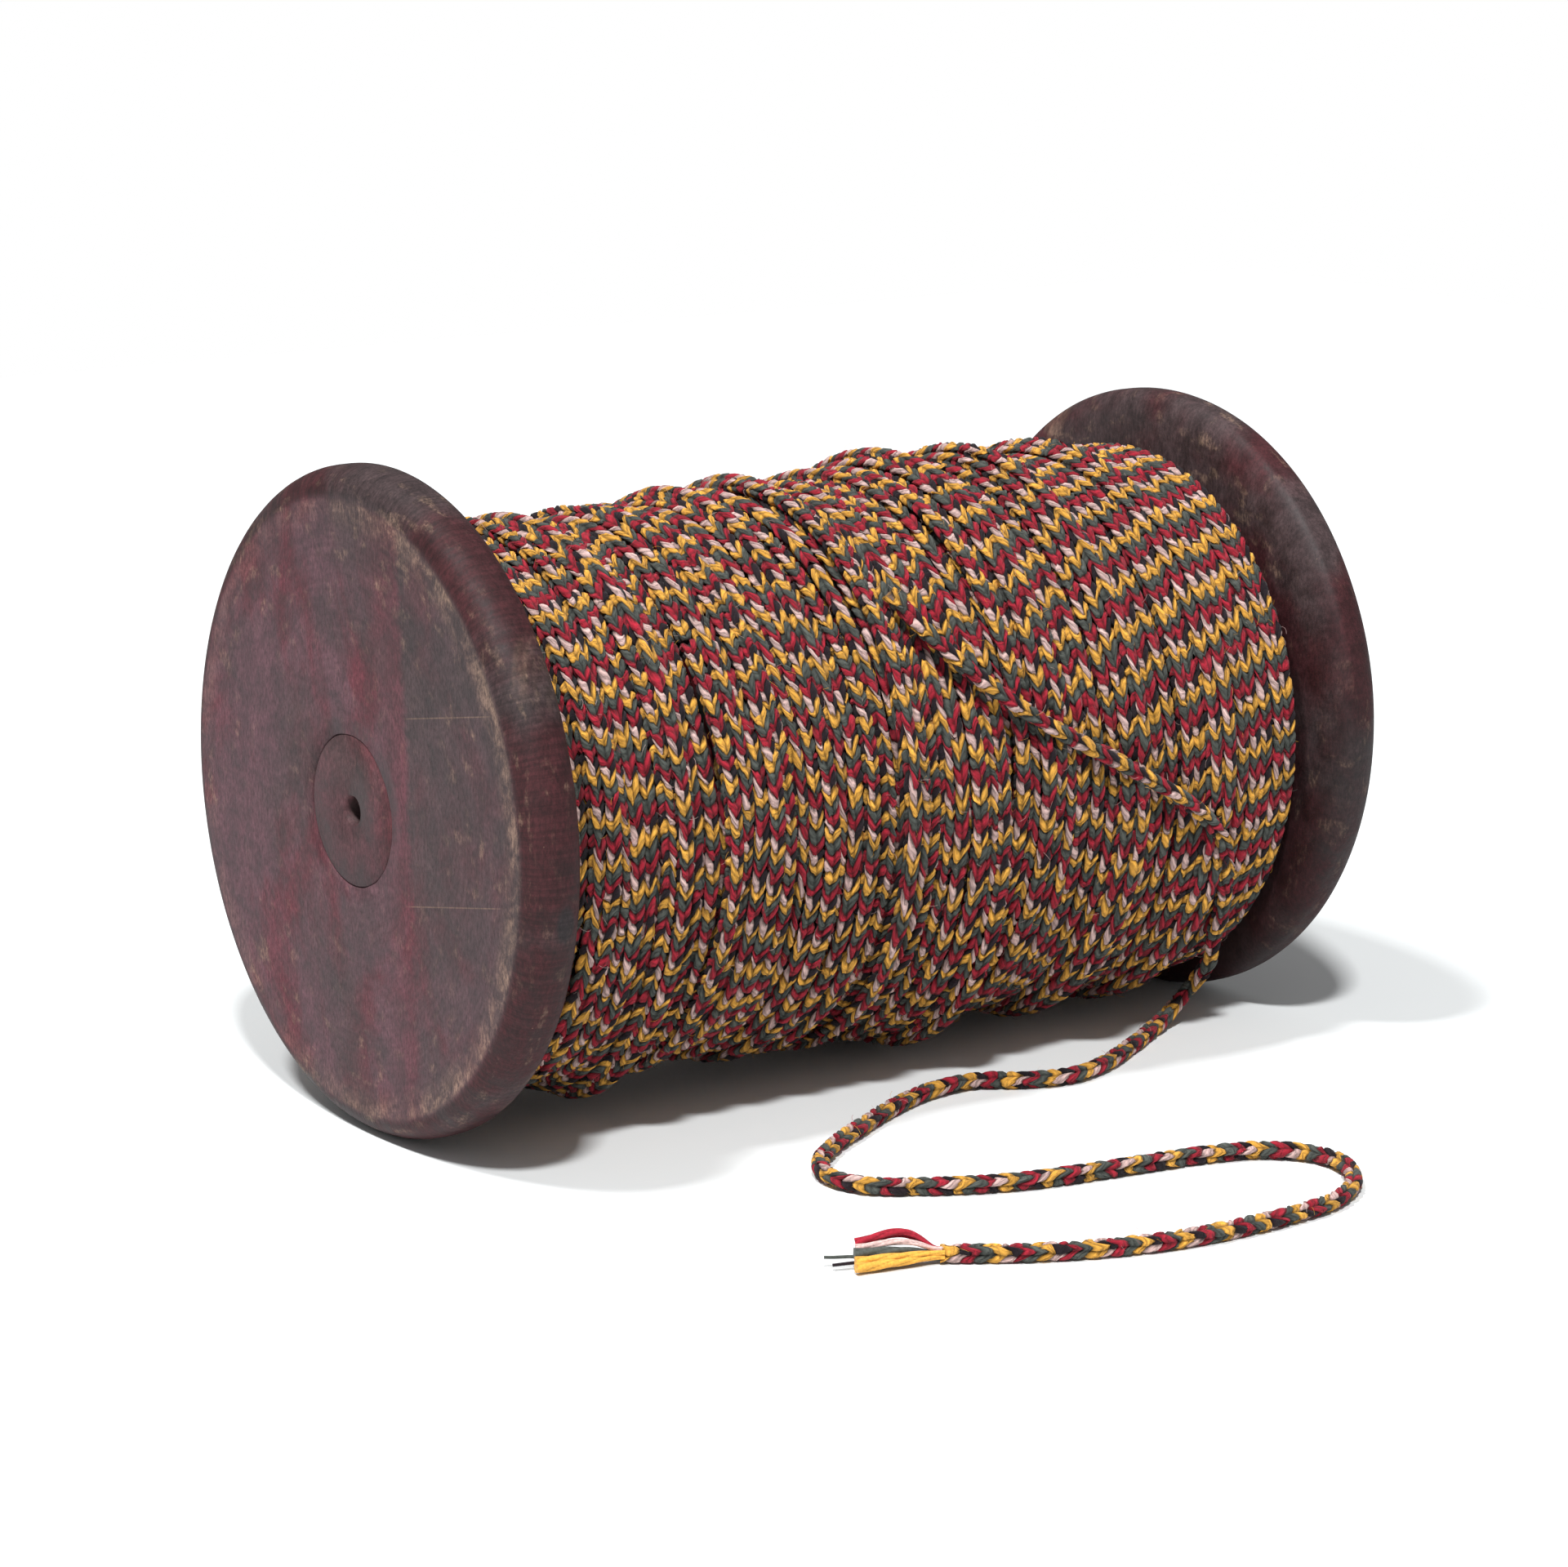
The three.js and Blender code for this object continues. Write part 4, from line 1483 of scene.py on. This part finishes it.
class BOBBIN_OT_inner_layers(Maker, bpy.types.Operator):
    """Colours the layers of cord that lie inside the winding, darkened with painted shade"""

    bl_idname = "bobbin.inner_layers"
    bl_label = "Colour the Inner Layers"

    def make(self, wood, cord, finishes):
        material, tree, shader = new_material("buried_cord", 0.95, 0.1)
        place = add_node(tree, "ShaderNodeTexCoord").outputs["Object"]
        stretched = reckon_vector(tree, "MULTIPLY", place, (1.0, 0.25, 0.25))
        share = between(tree, noise(tree, 700.0, 2.0, stretched), 0.4, 0.6)
        tint = blended(tree, share, finishes.red, finishes.green)
        # Painted shade: the red and grey-green are given at 0.4 of their brightness, as the shade that the
        # buried cord lies in between the turns above.
        tree.links.new(scaled(tree, tint, 0.4), shader.inputs["Base Color"])
        for name in INNER_LAYERS:
            for entry in frame["nodes"][name].material_slots:
                entry.material = material


class BOBBIN_PT_sidebar(bpy.types.Panel):
    """The bobbin's sizes, colours and makers"""

    bl_label = "Wound Bobbin"
    bl_idname = "BOBBIN_PT_sidebar"
    bl_space_type = "VIEW_3D"
    bl_region_type = "UI"
    bl_category = "Bobbin"

    def draw(self, context):
        scene = context.scene
        for group in (scene.bobbin_wood, scene.bobbin_cord, scene.bobbin_finishes):
            box = self.layout.box()
            for name in group.__annotations__:
                box.prop(group, name)
        for maker in MAKERS:
            self.layout.operator(maker.bl_idname)


GROUPS = {"bobbin_wood": FlangeSizes, "bobbin_cord": CordSizes, "bobbin_finishes": Finishes}
MAKERS = (
    BOBBIN_OT_stage,
    BOBBIN_OT_loose_cord,
    BOBBIN_OT_yarn_ends,
    BOBBIN_OT_winding,
    BOBBIN_OT_stray_fibres,
    BOBBIN_OT_wood,
    BOBBIN_OT_inner_layers,
)


def register():
    for group in GROUPS.values():
        bpy.utils.register_class(group)
    for name, group in GROUPS.items():
        setattr(bpy.types.Scene, name, PointerProperty(type=group))
    for maker in MAKERS:
        bpy.utils.register_class(maker)
    bpy.utils.register_class(BOBBIN_PT_sidebar)


def unregister():
    bpy.utils.unregister_class(BOBBIN_PT_sidebar)
    for maker in reversed(MAKERS):
        bpy.utils.unregister_class(maker)
    for name, group in GROUPS.items():
        delattr(bpy.types.Scene, name)
        bpy.utils.unregister_class(group)


def main():
    register()
    bpy.ops.bobbin.stage()
    bpy.ops.bobbin.loose_cord()
    bpy.ops.bobbin.yarn_ends()
    bpy.ops.bobbin.winding()
    bpy.ops.bobbin.stray_fibres()
    bpy.ops.bobbin.wood()
    bpy.ops.bobbin.inner_layers()


if __name__ == "__main__":
    main()
